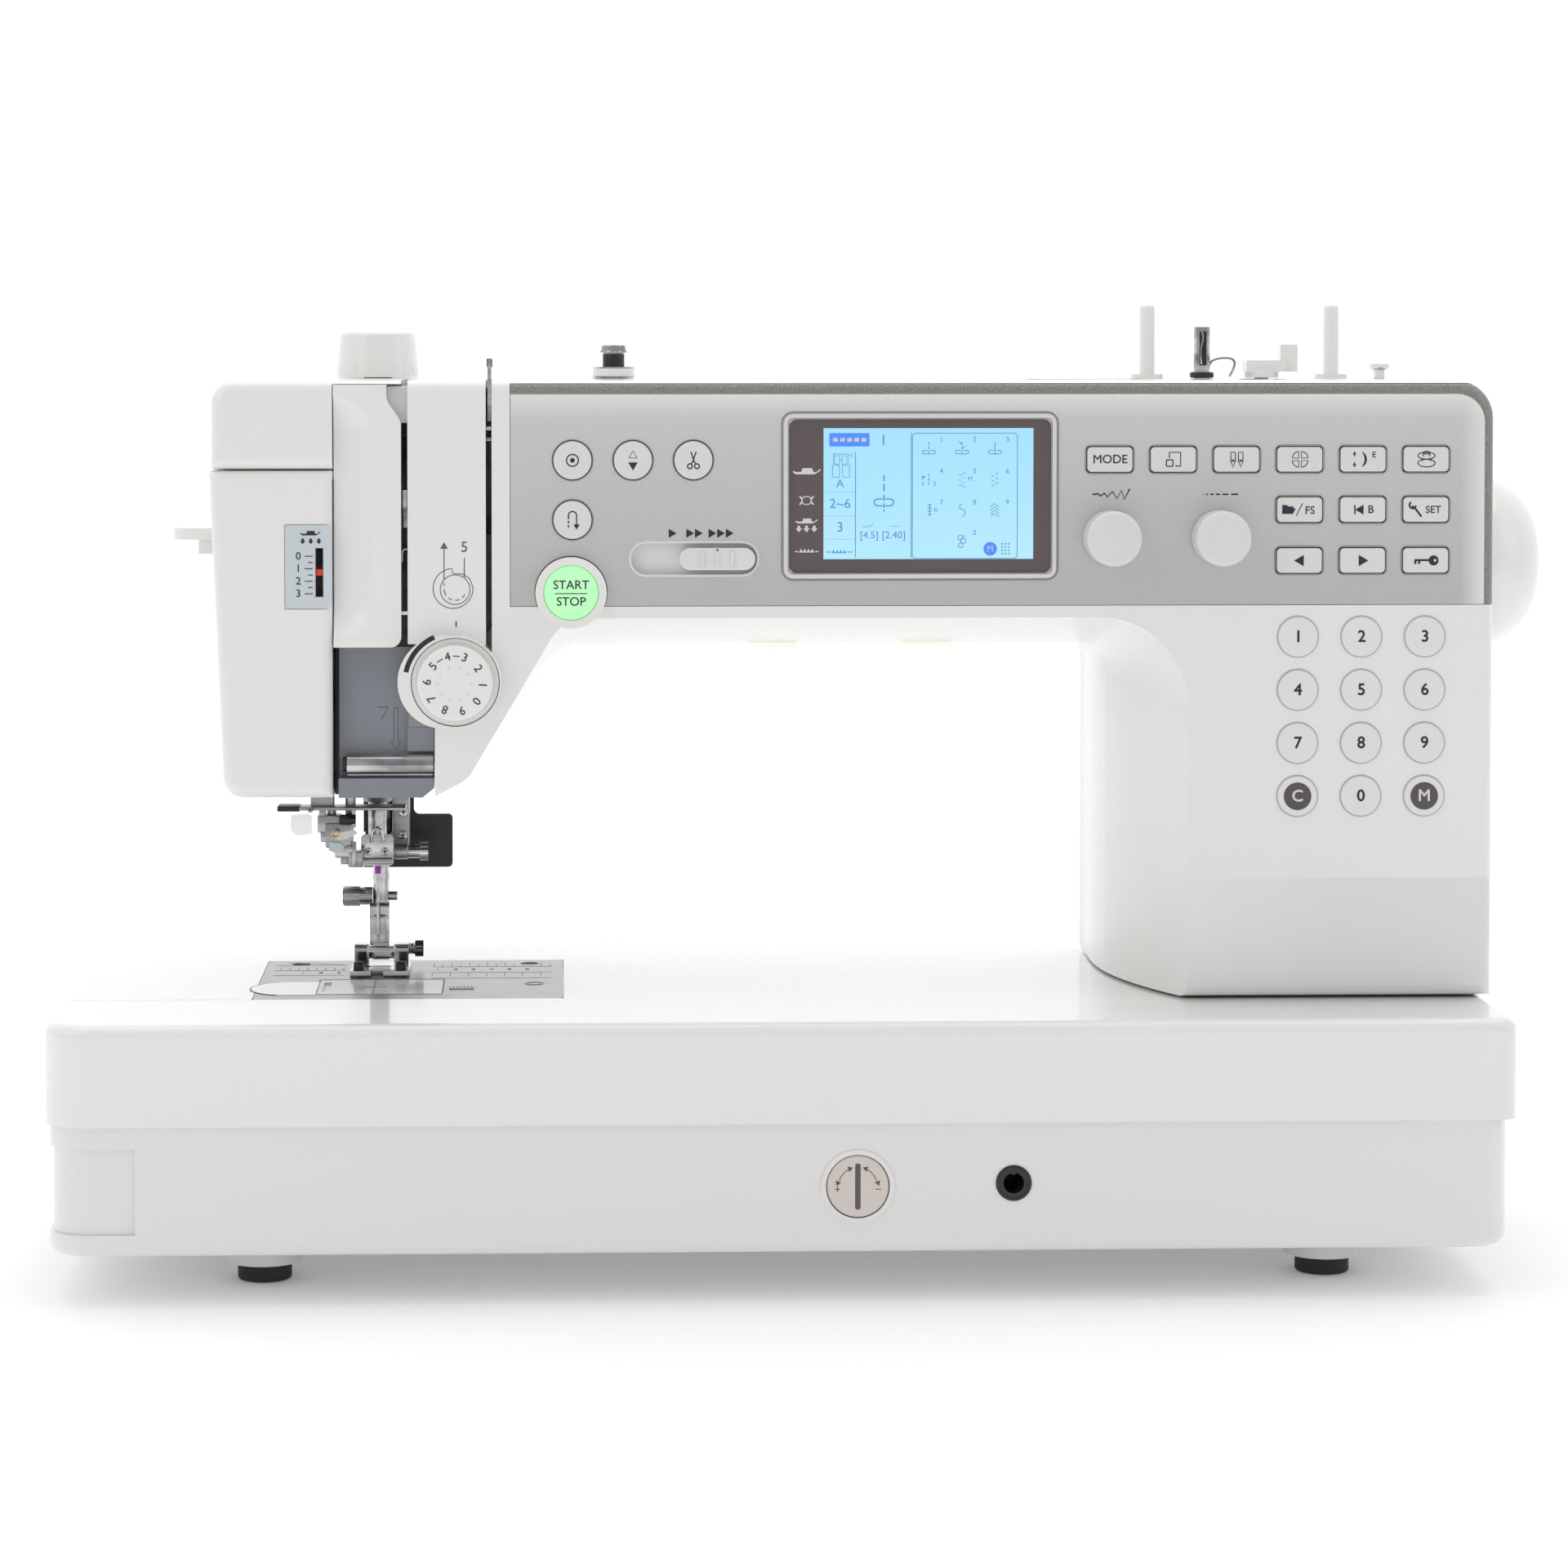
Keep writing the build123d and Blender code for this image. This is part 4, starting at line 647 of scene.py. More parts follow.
def makeScreen():
    # lit glass in the window's recess, with its frame stepped in round the edge
    look = screenLook
    floor = frontOf("display_window")[1] + 0.6
    glass = newBlock(
        (look["left"], floor - look["proud"], look["low"]), (look["right"], floor + 0.3, look["high"])
    )
    insetFaces(glass, lambda centre, normal: normal.y < -0.9, 0.5, 0.0)
    insetFaces(glass, lambda centre, normal: normal.y < -0.9 and abs(centre.x - at(51, 0, 0).x) < 0.03,
               0.25, -0.12)
    finishPiece(glass, "screenGlass", "machine", "screen")
    front = floor - look["proud"] + 0.1
    middleX, middleZ = (look["left"] + look["right"]) / 2, (look["low"] + look["high"]) / 2

    def lay(name, lines=(), width=look["fine"], areas=(), words=(), finish="screenInk", lift=0.0):
        def move(shape):
            return [(a - middleX, b - middleZ) for a, b in shape]
        moved = [(text, a - middleX, b - middleZ, *rest) for text, a, b, *rest in words]
        centre = (middleX, front - lift, middleZ)
        lines = [move(line) for line in lines]
        areas = [move(area) for area in areas]
        return printMark(name, "machine", centre, finish, lines, width, areas, moved, bold=0.0)

    dots = []
    for level in (264.4, 256.3, 248.5):
        for step in range(11):
            dots.append([(16.8 + step * 0.9, level), (17.1 + step * 0.9, level)])
    lay("screenRules", [
        [(26.4, 242.3), (26.4, 277.8)],
        [(45.2, 242.3), (45.2, 284.4)],
        frameLine(63.3, 263.1, 35.4, 42.2, 1.2),
    ] + dots)
    lay("screenTab", areas=[frameLine(24.3, 282.0, 13.6, 4.5, 0.5)], finish="screenLabel")
    tabBars = [frameLine(19.6 + step * 2.4, 282.0, 1.6, 1.3) for step in range(5)]
    lay("screenTabBars", areas=tabBars, finish="paleInk", lift=0.1)
    lay("screenFigures", words=[
        ("1", 35.8, 281.8, 3.6), ("A", 21.2, 267.2, 2.7), ("2~6", 21.2, 260.4, 3.2),
        ("3", 21.2, 252.5, 3.3),
        ("[4.5] [2.40]", 35.6, 249.8, 2.4),
    ])
    footIcon = [
        frameLine(20.2, 275.2, 1.6, 2.8), frameLine(22.7, 275.2, 1.6, 2.8), [(21.0, 275.2), (21.9, 275.2)],
        [(19.0, 277.2), (24.0, 277.2), (24.0, 273.4), (22.0, 273.4), (22.0, 269.4), (24.4, 269.4),
         (24.4, 273.4)],
        [(19.0, 277.2), (19.0, 273.4), (21.0, 273.4), (21.0, 269.4), (18.6, 269.4), (18.6, 273.4)],
        [(24.4, 276.8), (25.4, 277.6), (25.4, 276.0), (24.4, 276.8)],
    ]
    lay("screenFootIcon", footIcon)
    rowsOfTeeth = [wedge(19.0 + step * 1.25, 244.2, 0.75, 90.0) for step in range(4)]
    lay("screenFeedIcon", [[(16.6, 244.2), (18.2, 244.2)], [(23.7, 244.2), (25.4, 244.2)]], 0.35,
        rowsOfTeeth)
    stitch = [[(36.0, low), (36.0, low + span)] for low, span in (
        (268.1, 1.9), (264.6, 2.6), (261.4, 2.0), (259.0, 1.6), (257.8, 0.7))]
    for side in (-1, 1):
        loop = ring(1.15, 36.0 + side * 2.1, 260.9, -90.0 * side, 180.0)
        stitch.append([(36.0 + side * 0.5, loop[0][1])] + loop + [(36.0 + side * 0.5, loop[-1][1])])
    lay("screenStitch", stitch, look["bold"])
    lay("screenWidths", [
        [(28.8, 252.8), (29.8, 252.8), (30.3, 252.3), (31.0, 253.5), (31.6, 252.4), (32.2, 253.9)],
        [(38.2, 252.9), (38.9, 252.9)], [(39.3, 252.9), (40.0, 252.9)], [(40.4, 252.9), (41.1, 252.9)],
    ], 0.25)
    makeStitchGrid(lay)
    lay("screenRound", areas=[ring(2.3, 71.9, 245.2)], finish="screenLabel")
    lay("screenRoundLetter", words=[("M", 71.9, 245.2, 2.0)], finish="paleInk", lift=0.1)
    keypad = []
    for column in range(3):
        for row in range(4):
            keypad.append(frameLine(75.9 + column * 1.15, 243.6 + row * 1.1, 0.5, 0.5))
    lay("screenKeypad", areas=keypad)


def makeStitchGrid(lay):
    # ten small stitch pictures with their numbers
    columns = (51.1, 62.3, 73.4)
    rows = (279.0, 268.4, 257.9, 247.6)
    dashes = [[(0.0, 2.2), (0.0, 1.2)], [(0.0, 0.8), (0.0, -0.2)], [(0.0, -0.6), (0.0, -1.6)]]
    loops = [ring(0.6, -1.6, -1.2, 90.0, 180.0, 1.0, 8), ring(0.6, 1.6, -1.2, -90.0, 180.0, 1.0, 8)]
    loops += [[(-1.6, -0.6), (-0.5, -0.6)], [(1.6, -0.6), (0.5, -0.6)], [(-1.6, -1.8), (1.6, -1.8)]]
    zigzag = [[(1.2 * (-1) ** step, 2.4 - step * 0.8) for step in range(7)]]
    gaps = [[(line[0] * 0.9, line[1]), (line[0] * 0.2, line[1] - 0.55)] for line in zigzag[0][:-1]]
    overedge = [[(1.0, 2.2 - step * 1.1), (-0.4, 2.2 - step * 1.1)] for step in range(4)] + [[(0.4, 2.4),
            (0.4, -1.6)]]
    wave = [ring(0.9, 0.1, 1.5, 90.0, 180.0, 1.0, 8), ring(1.1, 0.0, -0.6, 90.0, -170.0, 1.1, 8)]
    chevrons = []
    for step in range(4):
        foot = -1.9 + step * 1.1
        chevrons.append([(-1.4, foot), (0.0, foot + 1.2), (1.4, foot)])
    knots = [ring(0.8, -0.5, 1.4), ring(0.9, 0.5, 0.3), ring(0.8, -0.4, -1.2), [(0.6, 2.2), (1.2, 1.8)]]
    pictures = [
        dashes + loops, dashes + loops + [[(-1.0, 2.4), (0.0, 1.4)], [(0.0, -0.2), (1.0, 0.9)]],
        [[(0.0, 2.2), (0.0, -1.6)]] + loops, dashes + loops[:2] + [[(-2.4, 1.0), (-1.2, 1.0)]],
        zigzag, gaps, overedge, wave, chevrons, knots,
    ]
    figures = []
    for place, picture in enumerate(pictures):
        row, column = divmod(place, 3)
        if place == 9:
            row, column = 3, 1
        across, up = columns[column], rows[row]
        lay("screenPicture" + str(place + 1), shifted(picture, across, up), 0.3)
        figures.append((str((place + 1) % 10), across + 4.3, up + 3.0, 1.7))
    figures += [("P", columns[0] - 1.9, rows[1] + 0.6, 1.5), ("M", columns[1] + 2.8, rows[1] + 0.4, 1.5)]
    figures += [("R", columns[0] + 2.4, rows[2] + 0.4, 1.5)]
    lay("screenNumbers", words=figures)


def downArrow(across, up, top, neck, tip, shaft, head):
    return [(across - shaft, up + top), (across + shaft, up + top), (across + shaft, up + neck),
            (across + head, up + neck), (across, up + tip), (across - head, up + neck),
            (across - shaft, up + neck)]


def footShape(scale=1.0):
    # side view of a presser foot: sole with both tips turned up and the ankle block on it
    sole = [(-4.6, 0.9), (-3.6, 0.2), (-1.0, 0.2), (2.6, 0.2), (4.2, 1.1), (4.9, 1.9), (4.4, 1.9),
            (3.2, 0.9),
            (2.2, 1.1), (1.9, 2.3), (-1.4, 2.3), (-1.8, 1.0), (-3.6, 1.0), (-4.6, 1.4)]
    return [(a * scale, b * scale) for a, b in sole]


def makeWindowMarks():
    # pale pictures down the left side of the screen's frame
    front = frontOf("display_window")[1] - 0.02
    across = 9.9

    def lay(name, up, lines=(), width=0.4, areas=()):
        printMark(name, "machine", (across, front, up), "paleInk", lines, width, areas)

    lay("frameFootPicture", 270.2, areas=[footShape()])
    knot = [ring(1.5, -3.0, 0.0, 60.0, -120.0, 1.1, 8), ring(1.5, 3.0, 0.0, 120.0, 120.0, 1.1, 8)]
    knot += [frameLine(0.0, 0.0, 3.0, 2.6, 1.0), [(-2.4, 1.4), (-1.4, 0.0), (-2.4, -1.4)]]
    knot += [[(2.4, 1.4), (1.4, 0.0), (2.4, -1.4)]]
    lay("frameKnotPicture", 261.6, knot, 0.38)
    arrows = [downArrow(step, 0.0, 0.9, 0.0, -1.3, 0.45, 1.1) for step in (-2.6, 0.0, 2.6)]
    upperFoot = [(a, b + 1.5) for a, b in footShape(0.8)]
    lay("framePressPicture", 252.2, areas=arrows + [upperFoot])
    teeth = [wedge(-1.9 + step * 1.27, 0.1, 0.85, 90.0) for step in range(4)]
    lay("frameFeedPicture", 244.4, [[(-4.0, 0.0), (-2.9, 0.0)], [(2.9, 0.0), (4.0, 0.0)]], 0.45, teeth)


rimLook = {"left": 2.9, "right": 93.4, "low": 236.1, "high": 290.0, "front": 43.12, "width": 1.5,
           "bend": 2.4}


def makeScreenRim():
    # painted highlight on the rim round the window's frame, and painted shade in fine lines where it meets
    # the frame and the panel
    look = rimLook
    middleX, middleZ = (look["left"] + look["right"]) / 2, (look["low"] + look["high"]) / 2
    width, height = look["right"] - look["left"], look["high"] - look["low"]
    # painted highlight: bright band along the rim
    band = lineMark([frameLine(0.0, 0.0, width, height, look["bend"])], (middleX, look["front"], middleZ),
                    look["width"], "front", 0.25)
    finishPiece(band, "screenRim", "machine", "rim")
    # painted shade: fine dark lines inside and outside the rim
    for grow, name in ((-1.7, "screenRimInnerShade"), (2.6, "screenRimOuterShade")):
        line = frameLine(0.0, 0.0, width + grow, height + grow, look["bend"] + grow / 2)
        depth = look["front"] if grow < 0 else panelLook["front"]
        shade = lineMark([line], (middleX, depth, middleZ), 0.4 if grow < 0 else 0.7, "front", 0.12)
        finishPiece(shade, name, "machine", "gapShade")


def icon(name, node, lines=(), areas=(), words=(), width=0.5, finish="ink", body=None):
    # picture on the front of a key, which it rides on
    across, front, up = frontOf(node)
    place = (across, front - 0.01, up)
    return printMark(name, body or node, place, finish, lines, width, areas, words)


def makeRoundButtonPictures():
    icon("lockPicture", "lock_button", [ring(2.0)], [ring(0.8)])
    icon("needlePicture", "needle_button", [wedge(0.0, 1.6, 1.6, 90.0) + wedge(0.0, 1.6, 1.6, 90.0)[:1]],
         [wedge(0.0, -1.6, 1.8, 270.0)], width=0.4)
    blades = [[(-0.9, 2.9), (0.3, -0.6), (1.0, -1.4)], [(0.9, 2.9), (-0.3, -0.6), (-1.0, -1.4)]]
    icon("scissorsPicture", "cutter_button", blades + [ring(0.8, -1.2, -2.0), ring(0.8, 1.2, -2.0)],
         width=0.5)
    bend = ring(1.35, 0.0, 1.5, 180.0, -180.0)
    turn = [bend + [(1.35, -1.6)], [(-1.35, 1.5), (-1.35, 0.3)], [(-1.35, -0.3), (-1.35, -1.2)],
            [(-1.35, -1.8), (-1.35, -2.5)]]
    icon("reversePicture", "reverse_button", turn, [wedge(1.35, -2.1, 1.2, 270.0)], width=0.5)


def makeStartFace():
    across, front, up = frontOf("start_button")
    words = [("START", 0.0, 2.6, 2.9), ("STOP", 0.0, -3.0, 2.9)]
    printMark("startLabel", "start_button", (across, front - 0.01, up), "ink",
              [[(-5.4, -0.2), (5.4, -0.2)]], 0.35, (), words)


def makeKeyPictures():
    # small pictures on the twelve rectangular keys
    icon("modeWord", "key_top_1", words=[("MODE", 0.0, 0.0, 2.9)])
    icon("resizePicture", "key_top_2", [
        frameLine(-1.3, -1.2, 2.2, 2.2, 0.3),
        [(-1.4, 0.6), (-1.4, 2.4), (2.4, 2.4), (2.4, -2.2), (0.6, -2.2)],
    ], width=0.45)
    needles = []
    for side in (-1.3, 1.3):
        needles.append([(side - 0.75, 2.4), (side + 0.75, 2.4), (side + 0.75, -0.6), (side, -2.6),
                        (side - 0.75, -0.6), (side - 0.75, 2.4)])
        needles.append(ring(0.25, side, -0.4))
    icon("twinNeedlePicture", "key_top_3", needles, width=0.42)
    quarters = []
    for start in (0.0, 90.0, 180.0, 270.0):
        middle = (0.6 * math.cos(math.radians(start + 45.0)), 0.6 * math.sin(math.radians(start + 45.0)))
        quarters.append([middle] + ring(2.2, *middle, start, 90.0, 1.0, 8) + [middle])
    icon("quarterPicture", "key_top_4", quarters, width=0.36)
    moon = ring(2.8, -1.6, 0.0, -65.0, 130.0) + ring(3.6, -3.2, 0.0, 42.0, -84.0)
    arrows = [wedge(-3.0, 2.0, 0.7, 90.0), wedge(-3.0, -2.0, 0.7, 270.0)]
    icon("moonPicture", "key_top_5", [[(-3.0, 1.8), (-3.0, 1.0)], [(-3.0, -1.8), (-3.0, -1.0)]],
         arrows + [moon], [("E", 3.6, 1.5, 1.9)], 0.45)
    icon("bobbinPicture", "key_top_6", [
        ring(2.9, 0.0, 1.2, 0.0, 360.0, 0.4), ring(2.9, 0.0, -1.3, 0.0, 360.0, 0.45),
        ring(1.1, 0.0, 2.2, 0.0, 360.0, 0.4), [(-1.1, 2.2), (-1.1, 1.0)], [(1.1, 2.2), (1.1, 1.0)],
        [(-1.4, 0.2), (-1.4, -0.6)], [(1.4, 0.2), (1.4, -0.6)],
    ], width=0.4)
    folder = [(-6.0, -1.4), (-6.0, 1.6), (-4.4, 1.6), (-4.0, 1.1), (-2.2, 1.1), (-2.2, 0.4), (-1.4, 0.4),
              (-2.4, -1.4)]
    icon("folderPicture", "key_mid_1", [[(-1.2, -2.0), (0.9, 2.2)]], [folder], [("FS", 3.4, -0.3, 2.6)],
         0.35)
    icon("startOverPicture", "key_mid_2", [[(-2.8, -1.6), (-2.8, 1.6)]], [wedge(-0.8, 0.0, 1.9, 180.0)],
         [("B", 2.6, 0.0, 2.6)], 0.5)
    wrench = [[(-4.8, 1.2), (-3.6, 0.2), (-1.6, -2.4)], ring(1.1, -4.6, 1.5, -10.0, -230.0, 1.0, 10)]
    icon("wrenchPicture", "key_mid_3", wrench, (), [("SET", 2.4, -0.1, 2.4)], 0.75)
    icon("backPicture", "key_low_1", (), [wedge(0.3, 0.0, 2.2, 180.0)])
    icon("forwardPicture", "key_low_2", (), [wedge(-0.3, 0.0, 2.2, 0.0)])
    bow = [ring(1.7, 2.6, 0.0) + ring(0.5, 3.1, 0.0, 360.0, -360.0)]
    icon("keyPicture", "key_low_3", [[(1.2, 0.1), (-3.9, 0.1)], [(-3.6, 0.1), (-3.6, -1.2)],
         [(-2.3, 0.1), (-2.3, -1.2)]], bow, (), 0.8)


def makeNumbers():
    # digits on the twelve round keys; the two lower corners have dark discs
    front = frontOf("number_keys")[1] - 0.01
    across, up = panelLook["numberColumns"], panelLook["numberRows"]
    for place, figure in enumerate("123456789C0M"):
        row, column = divmod(place, 3)
        spot = (across[column], front, up[row])
        dark = figure in "CM"
        if dark:
            printMark("keyDisc" + figure, "number_keys", spot, "disc", areas=[ring(4.7)])
            spot = (across[column], front - 0.1, up[row])
        printMark("keyFigure" + figure, "number_keys", spot, "paleInk" if dark else "ink",
                  words=[(figure, 0.0, 0.0, 3.9)], bold=0.11)


def makeRoundKeyRims():
    # painted shade: fine ring round each key where its gap meets the panel, half sunk in the panel
    look = panelLook
    front, pitch = look["front"], look["keyPitch"]
    for name, (across, up) in look["roundKeys"].items():
        rim = lineMark([ring(6.9, steps=48)], (across, front, up), 0.4, "front", 0.14)
        finishPiece(rim, name + "Rim", "machine", "gapShade")
    rims = [lineMark([ring(6.95, steps=48)], (across, front, up), 0.62, "front", 0.12)
            for across in look["numberColumns"] for up in look["numberRows"]]
    finishPiece(joinAll(rims), "numberGapShades", "machine", "paleGapShade")
    firstTop, topRow = look["topKeys"]
    firstLow, lowRows = look["lowKeys"]
    keys = [(firstTop + pitch * step, topRow) for step in range(6)]
    keys += [(firstLow + pitch * step, up) for step in range(3) for up in lowRows]
    rims = [lineMark([frameLine(0.0, 0.0, 16.6, 9.7, 2.0)], (across, front, up), 0.36, "front", 0.14)
            for across, up in keys]
    finishPiece(joinAll(rims), "keyGapShades", "machine", "gapShade")


def makePanelMarks():
    # speed arrows and the two marks over the knobs
    front = panelLook["printed"]
    arrows = [wedge(across, 0.0, 1.75, 0.0) for across in (-35.6, -29.7, -26.8, -22.2, -19.3, -16.4)]
    printMark("speedMarks", "machine", (0.0, front, 250.6), "ink", areas=arrows)
    zigzag = [(-6.2, 0.0), (-4.4, 0.2), (-3.4, -0.5), (-2.2, 0.4), (-1.2, -0.8), (0.6, 1.0), (2.0, -1.4),
              (3.6, 1.3),
              (4.6, -1.6), (6.4, 1.9)]
    printMark("widthMark", "machine", (112.6, front, 263.5), "ink", [zigzag], 0.6)
    dashes = [[(-5.6, 0.0), (-5.4, 0.0)], [(-4.4, 0.0), (-3.9, 0.0)], [(-3.0, 0.0), (-2.0, 0.0)],
              [(-1.2, 0.0), (0.2, 0.0)], [(1.0, 0.0), (3.0, 0.0)], [(3.9, 0.0), (6.3, 0.0)]]
    printMark("lengthMark", "machine", (149.4, front, 263.5), "ink", dashes, 0.6)


makeScreen()
makeWindowMarks()
makeScreenRim()
makeRoundButtonPictures()
makeStartFace()
makeKeyPictures()
makeNumbers()
makeRoundKeyRims()
makePanelMarks()
print("panel, screen and keys dressed")

pressureLook = {
    "left": -165.1, "right": -149.5, "low": 225.5, "high": 253.6,
    "slotLeft": -155.2, "slotRight": -152.2, "slotLow": 229.2, "slotHigh": 246.0,
    "front": 44.5,
    "figures": (243.1, 238.9, 234.7, 230.5),
}


def makePressureWindow():
    # pale scale plate round the slot of the pressure pointer
    look = pressureLook
    middleX, middleZ = (look["left"] + look["right"]) / 2, (look["low"] + look["high"]) / 2
    plate = frameLine(0.0, 0.0, look["right"] - look["left"], look["high"] - look["low"], 1.4)
    slotX = (look["slotLeft"] + look["slotRight"]) / 2 - middleX
    slotZ = (look["slotLow"] + look["slotHigh"]) / 2 - middleZ
    slot = frameLine(slotX, slotZ, look["slotRight"] - look["slotLeft"], look["slotHigh"] - look["slotLow"])
    piece = flatMark([plate[:-1], slot[:-1]], (middleX, look["front"], middleZ), "front", 0.25)
    finishPiece(piece, "pressureScale", "machine", "window")
    lines = []
    for place, level in enumerate(look["figures"]):
        lines.append([(-158.6 - middleX, level - middleZ), (-155.9 - middleX, level - middleZ)])
        if place < 3:
            lines.append([(-157.4 - middleX, level - 2.1 - middleZ),
                          (-155.9 - middleX, level - 2.1 - middleZ)])
    words = [(str(place), -160.7 - middleX, level - middleZ, 2.5)
             for place, level in enumerate(look["figures"])]
    foot = [(a * 0.72 + 0.6, b * 0.72 + 10.4) for a, b in footShape()]
    arrows = [downArrow(0.8 + step, 8.6, 0.9, 0.1, -1.0, 0.4, 0.9) for step in (-2.7, 0.0, 2.7)]
    centre = (middleX, look["front"] - 0.26, middleZ)
    printMark("pressureFigures", "machine", centre, "ink", lines, 0.38, [foot] + arrows, words)


def makeThreadPrints():
    # threading arrows and the small diagram on the middle plate
    front = panelLook["printed"]
    arrow = [[(0.0, -9.0), (0.0, 3.0)], [(0.0, -10.2), (0.0, -11.2)], [(0.0, -12.4), (0.0, -13.4)]]
    printMark("threadArrow", "machine", (-111.9, front, 244.3), "softInk", arrow, 0.36,
              [wedge(0.0, 2.0, 1.5, 90.0)])
    printMark("threadFive", "machine", (-105.1, front, 246.0), "softInk", [[(0.0, -3.6), (0.0, -10.0)]],
              0.36,
              (), [("5", 0.0, 0.0, 3.5)])
    outer = ring(6.7, -0.7, 0.4, 100.0, 262.0) + [(5.0, 3.6), (2.6, 5.2), (-0.8, 5.4), (-1.0, 7.0),
            (-2.0, 7.1)]
    dashedU = [ring(3.6, 0.0, 0.0, start, 24.0, 1.0, 5) for start in (190.0, 230.0, 270.0, 310.0)]
    printMark("threadDiagram", "machine", (-108.2, front, 231.8), "softInk", [outer, ring(5.0)] + dashedU,
              0.34)
    printMark("dialIndex", "machine", (-107.9, front, 220.2), "ink", [[(0.0, -1.0), (0.0, 1.0)]], 0.45)


def makeChannelParts():
    # check spring, guides and funnel inside the two thread channels
    hook = newWire([(-126.0, 46.2, 241.0), (-126.1, 46.0, 244.2), (-125.2, 45.6, 245.6),
                    (-124.4, 45.8, 245.2)], 0.28)
    finishPiece(hook, "checkSpring", "machine", "chrome")
    addBlock("channelBridge", "machine", "shell", (-126.6, 45.5, 223.2), (-123.9, 47.5, 224.4), 0.3)
    guides = [newBlock((-98.1, 47.0, low), (-95.7, 52.0, low + 1.2), 0.3) for low in (285.2, 281.6)]
    finishPiece(joinAll(guides), "channelGuides", "machine", "chrome")
    addBlock("threadFunnel", "machine", "tray", (-131.2, 50.0, 287.6), (-123.6, 57.0, 300.0), 0.4)
    addRod("slotGuideTip", "machine", "black", (-96.9, 64.0, 306.2), (-96.9, 64.0, 309.2), 1.0, 0.3, 16)


slabLook = {
    "left": -149.0, "right": -126.3, "low": 212.4, "high": 300.6, "front": panelLook["front"], "back": 60.0,
    "corner": 3.6,  # lower right
    "notch": 4.8, "notchLow": 13.5, "notchHigh": 4.0,  # where the cover swings in beside the funnel
    "ridge": -135.8, "hollowLow": 214.0, "hollowHigh": 297.0, "hollowRadius": 18.0,
    "hollowSquash": 0.5, "hollowAhead": 5.0,  # the hollow's middle stands this far before the cover
    "soft": 0.9,
}


def makeThreadSlab():
    # left thread cover: a slab with one long hollow, and a swung shoulder at the top right
    look = slabLook
    halfWide, halfHigh = (look["right"] - look["left"]) / 2, (look["high"] - look["low"]) / 2
    corner = look["corner"]
    outline = [(-halfWide, -halfHigh)] + ring(corner, halfWide - corner, corner - halfHigh, -90.0, 90.0,
                                              1.0, 8)
    steps = 12
    for step in range(steps + 1):
        share = step / steps
        swing = share * share * (3.0 - 2.0 * share)
        rise = look["notchLow"] + (look["notchHigh"] - look["notchLow"]) * share
        outline.append((halfWide - look["notch"] * swing, halfHigh - rise))
    outline += [(halfWide - look["notch"], halfHigh), (-halfWide, halfHigh)]
    middle = (look["left"] + halfWide, (look["front"] + look["back"]) / 2, look["low"] + halfHigh)
    piece = flatMark([outline], middle, "front", (look["back"] - look["front"]) / 2)
    freePick()
    bpy.ops.mesh.primitive_uv_sphere_add(segments=96, ring_count=48, radius=look["hollowRadius"] * mm)
    cutter = bpy.context.object
    radius, ahead = look["hollowRadius"], look["hollowAhead"]
    # half width at the face
    reach = radius * math.sqrt(1.0 - (ahead / (radius * look["hollowSquash"])) ** 2)
    stretch = (look["hollowHigh"] - look["hollowLow"]) / 2 - reach
    for sign in (1, -1):
        editFaces(cutter, lambda centre, normal: centre.z * sign > 0)
        bpy.ops.transform.translate(value=(0.0, 0.0, sign * stretch * mm))
        bpy.ops.object.mode_set(mode="OBJECT")
    cutter.scale = (1.0, look["hollowSquash"], 1.0)
    cutter.location = at(look["ridge"] - reach, look["front"] - ahead,
                         (look["hollowHigh"] + look["hollowLow"]) / 2)
    settle(cutter)
    onlyPick(piece)
    cut = piece.modifiers.new("hollow", "BOOLEAN")
    cut.operation = "DIFFERENCE"
    cut.solver = "EXACT"
    cut.object = cutter
    bpy.ops.object.modifier_apply(modifier=cut.name)
    bpy.data.objects.remove(cutter)
    finishPiece(softEdges(piece, look["soft"], 3, 28.0), "threadSlab", "machine", "shell")
    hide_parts("thread_cover")


dialLook = {
    "middle": (-108.1, 201.1),
    "reach": 9.2,  # from the middle to the figures
    "top": 105.0,  # angle of the figure 4
    "figure": 2.8,  # height
}


def makeTensionDial():
    # figures and dashes on the tension dial, with painted shade in a slightly darker fine ring on it and in
    # the housing's dark crescent beside it
    look = dialLook
    front = frontOf("tension_dial")[1] - 0.01
    words, dashes = [], []
    reach, top = look["reach"], look["top"]
    for figure in range(10):
        angle = math.radians(top + (figure - 4) * 36.0)
        words.append((str(figure), reach * math.cos(angle), reach * math.sin(angle), look["figure"],
                      math.degrees(angle) - 90.0))
    for angle in (top - 18.0, top + 18.0):
        dashes.append(ring(reach, 0.0, 0.0, angle - 7.0, 14.0, 1.0, 3))
    across, up = look["middle"]
    printMark("dialFigures", "tension_dial", (across, front, up), "ink", dashes, 0.4, (), words)
    # painted shade: dark crescent in the gap between the housing and the dial
    crescent = lineMark([ring(16.6, -0.2, 0.0, 168.0, -54.0)], (across, 37.98, up), 1.9)
    finishPiece(crescent, "housingCrescentShade", "machine", "black")
    # painted shade: slightly darker fine ring standing for the shadow line in the dial's groove
    rim = lineMark([ring(13.3, steps=64)], (across, 38.85, up), 0.7, "front", 0.2)
    finishPiece(rim, "dialRim", "tension_dial", "tray")


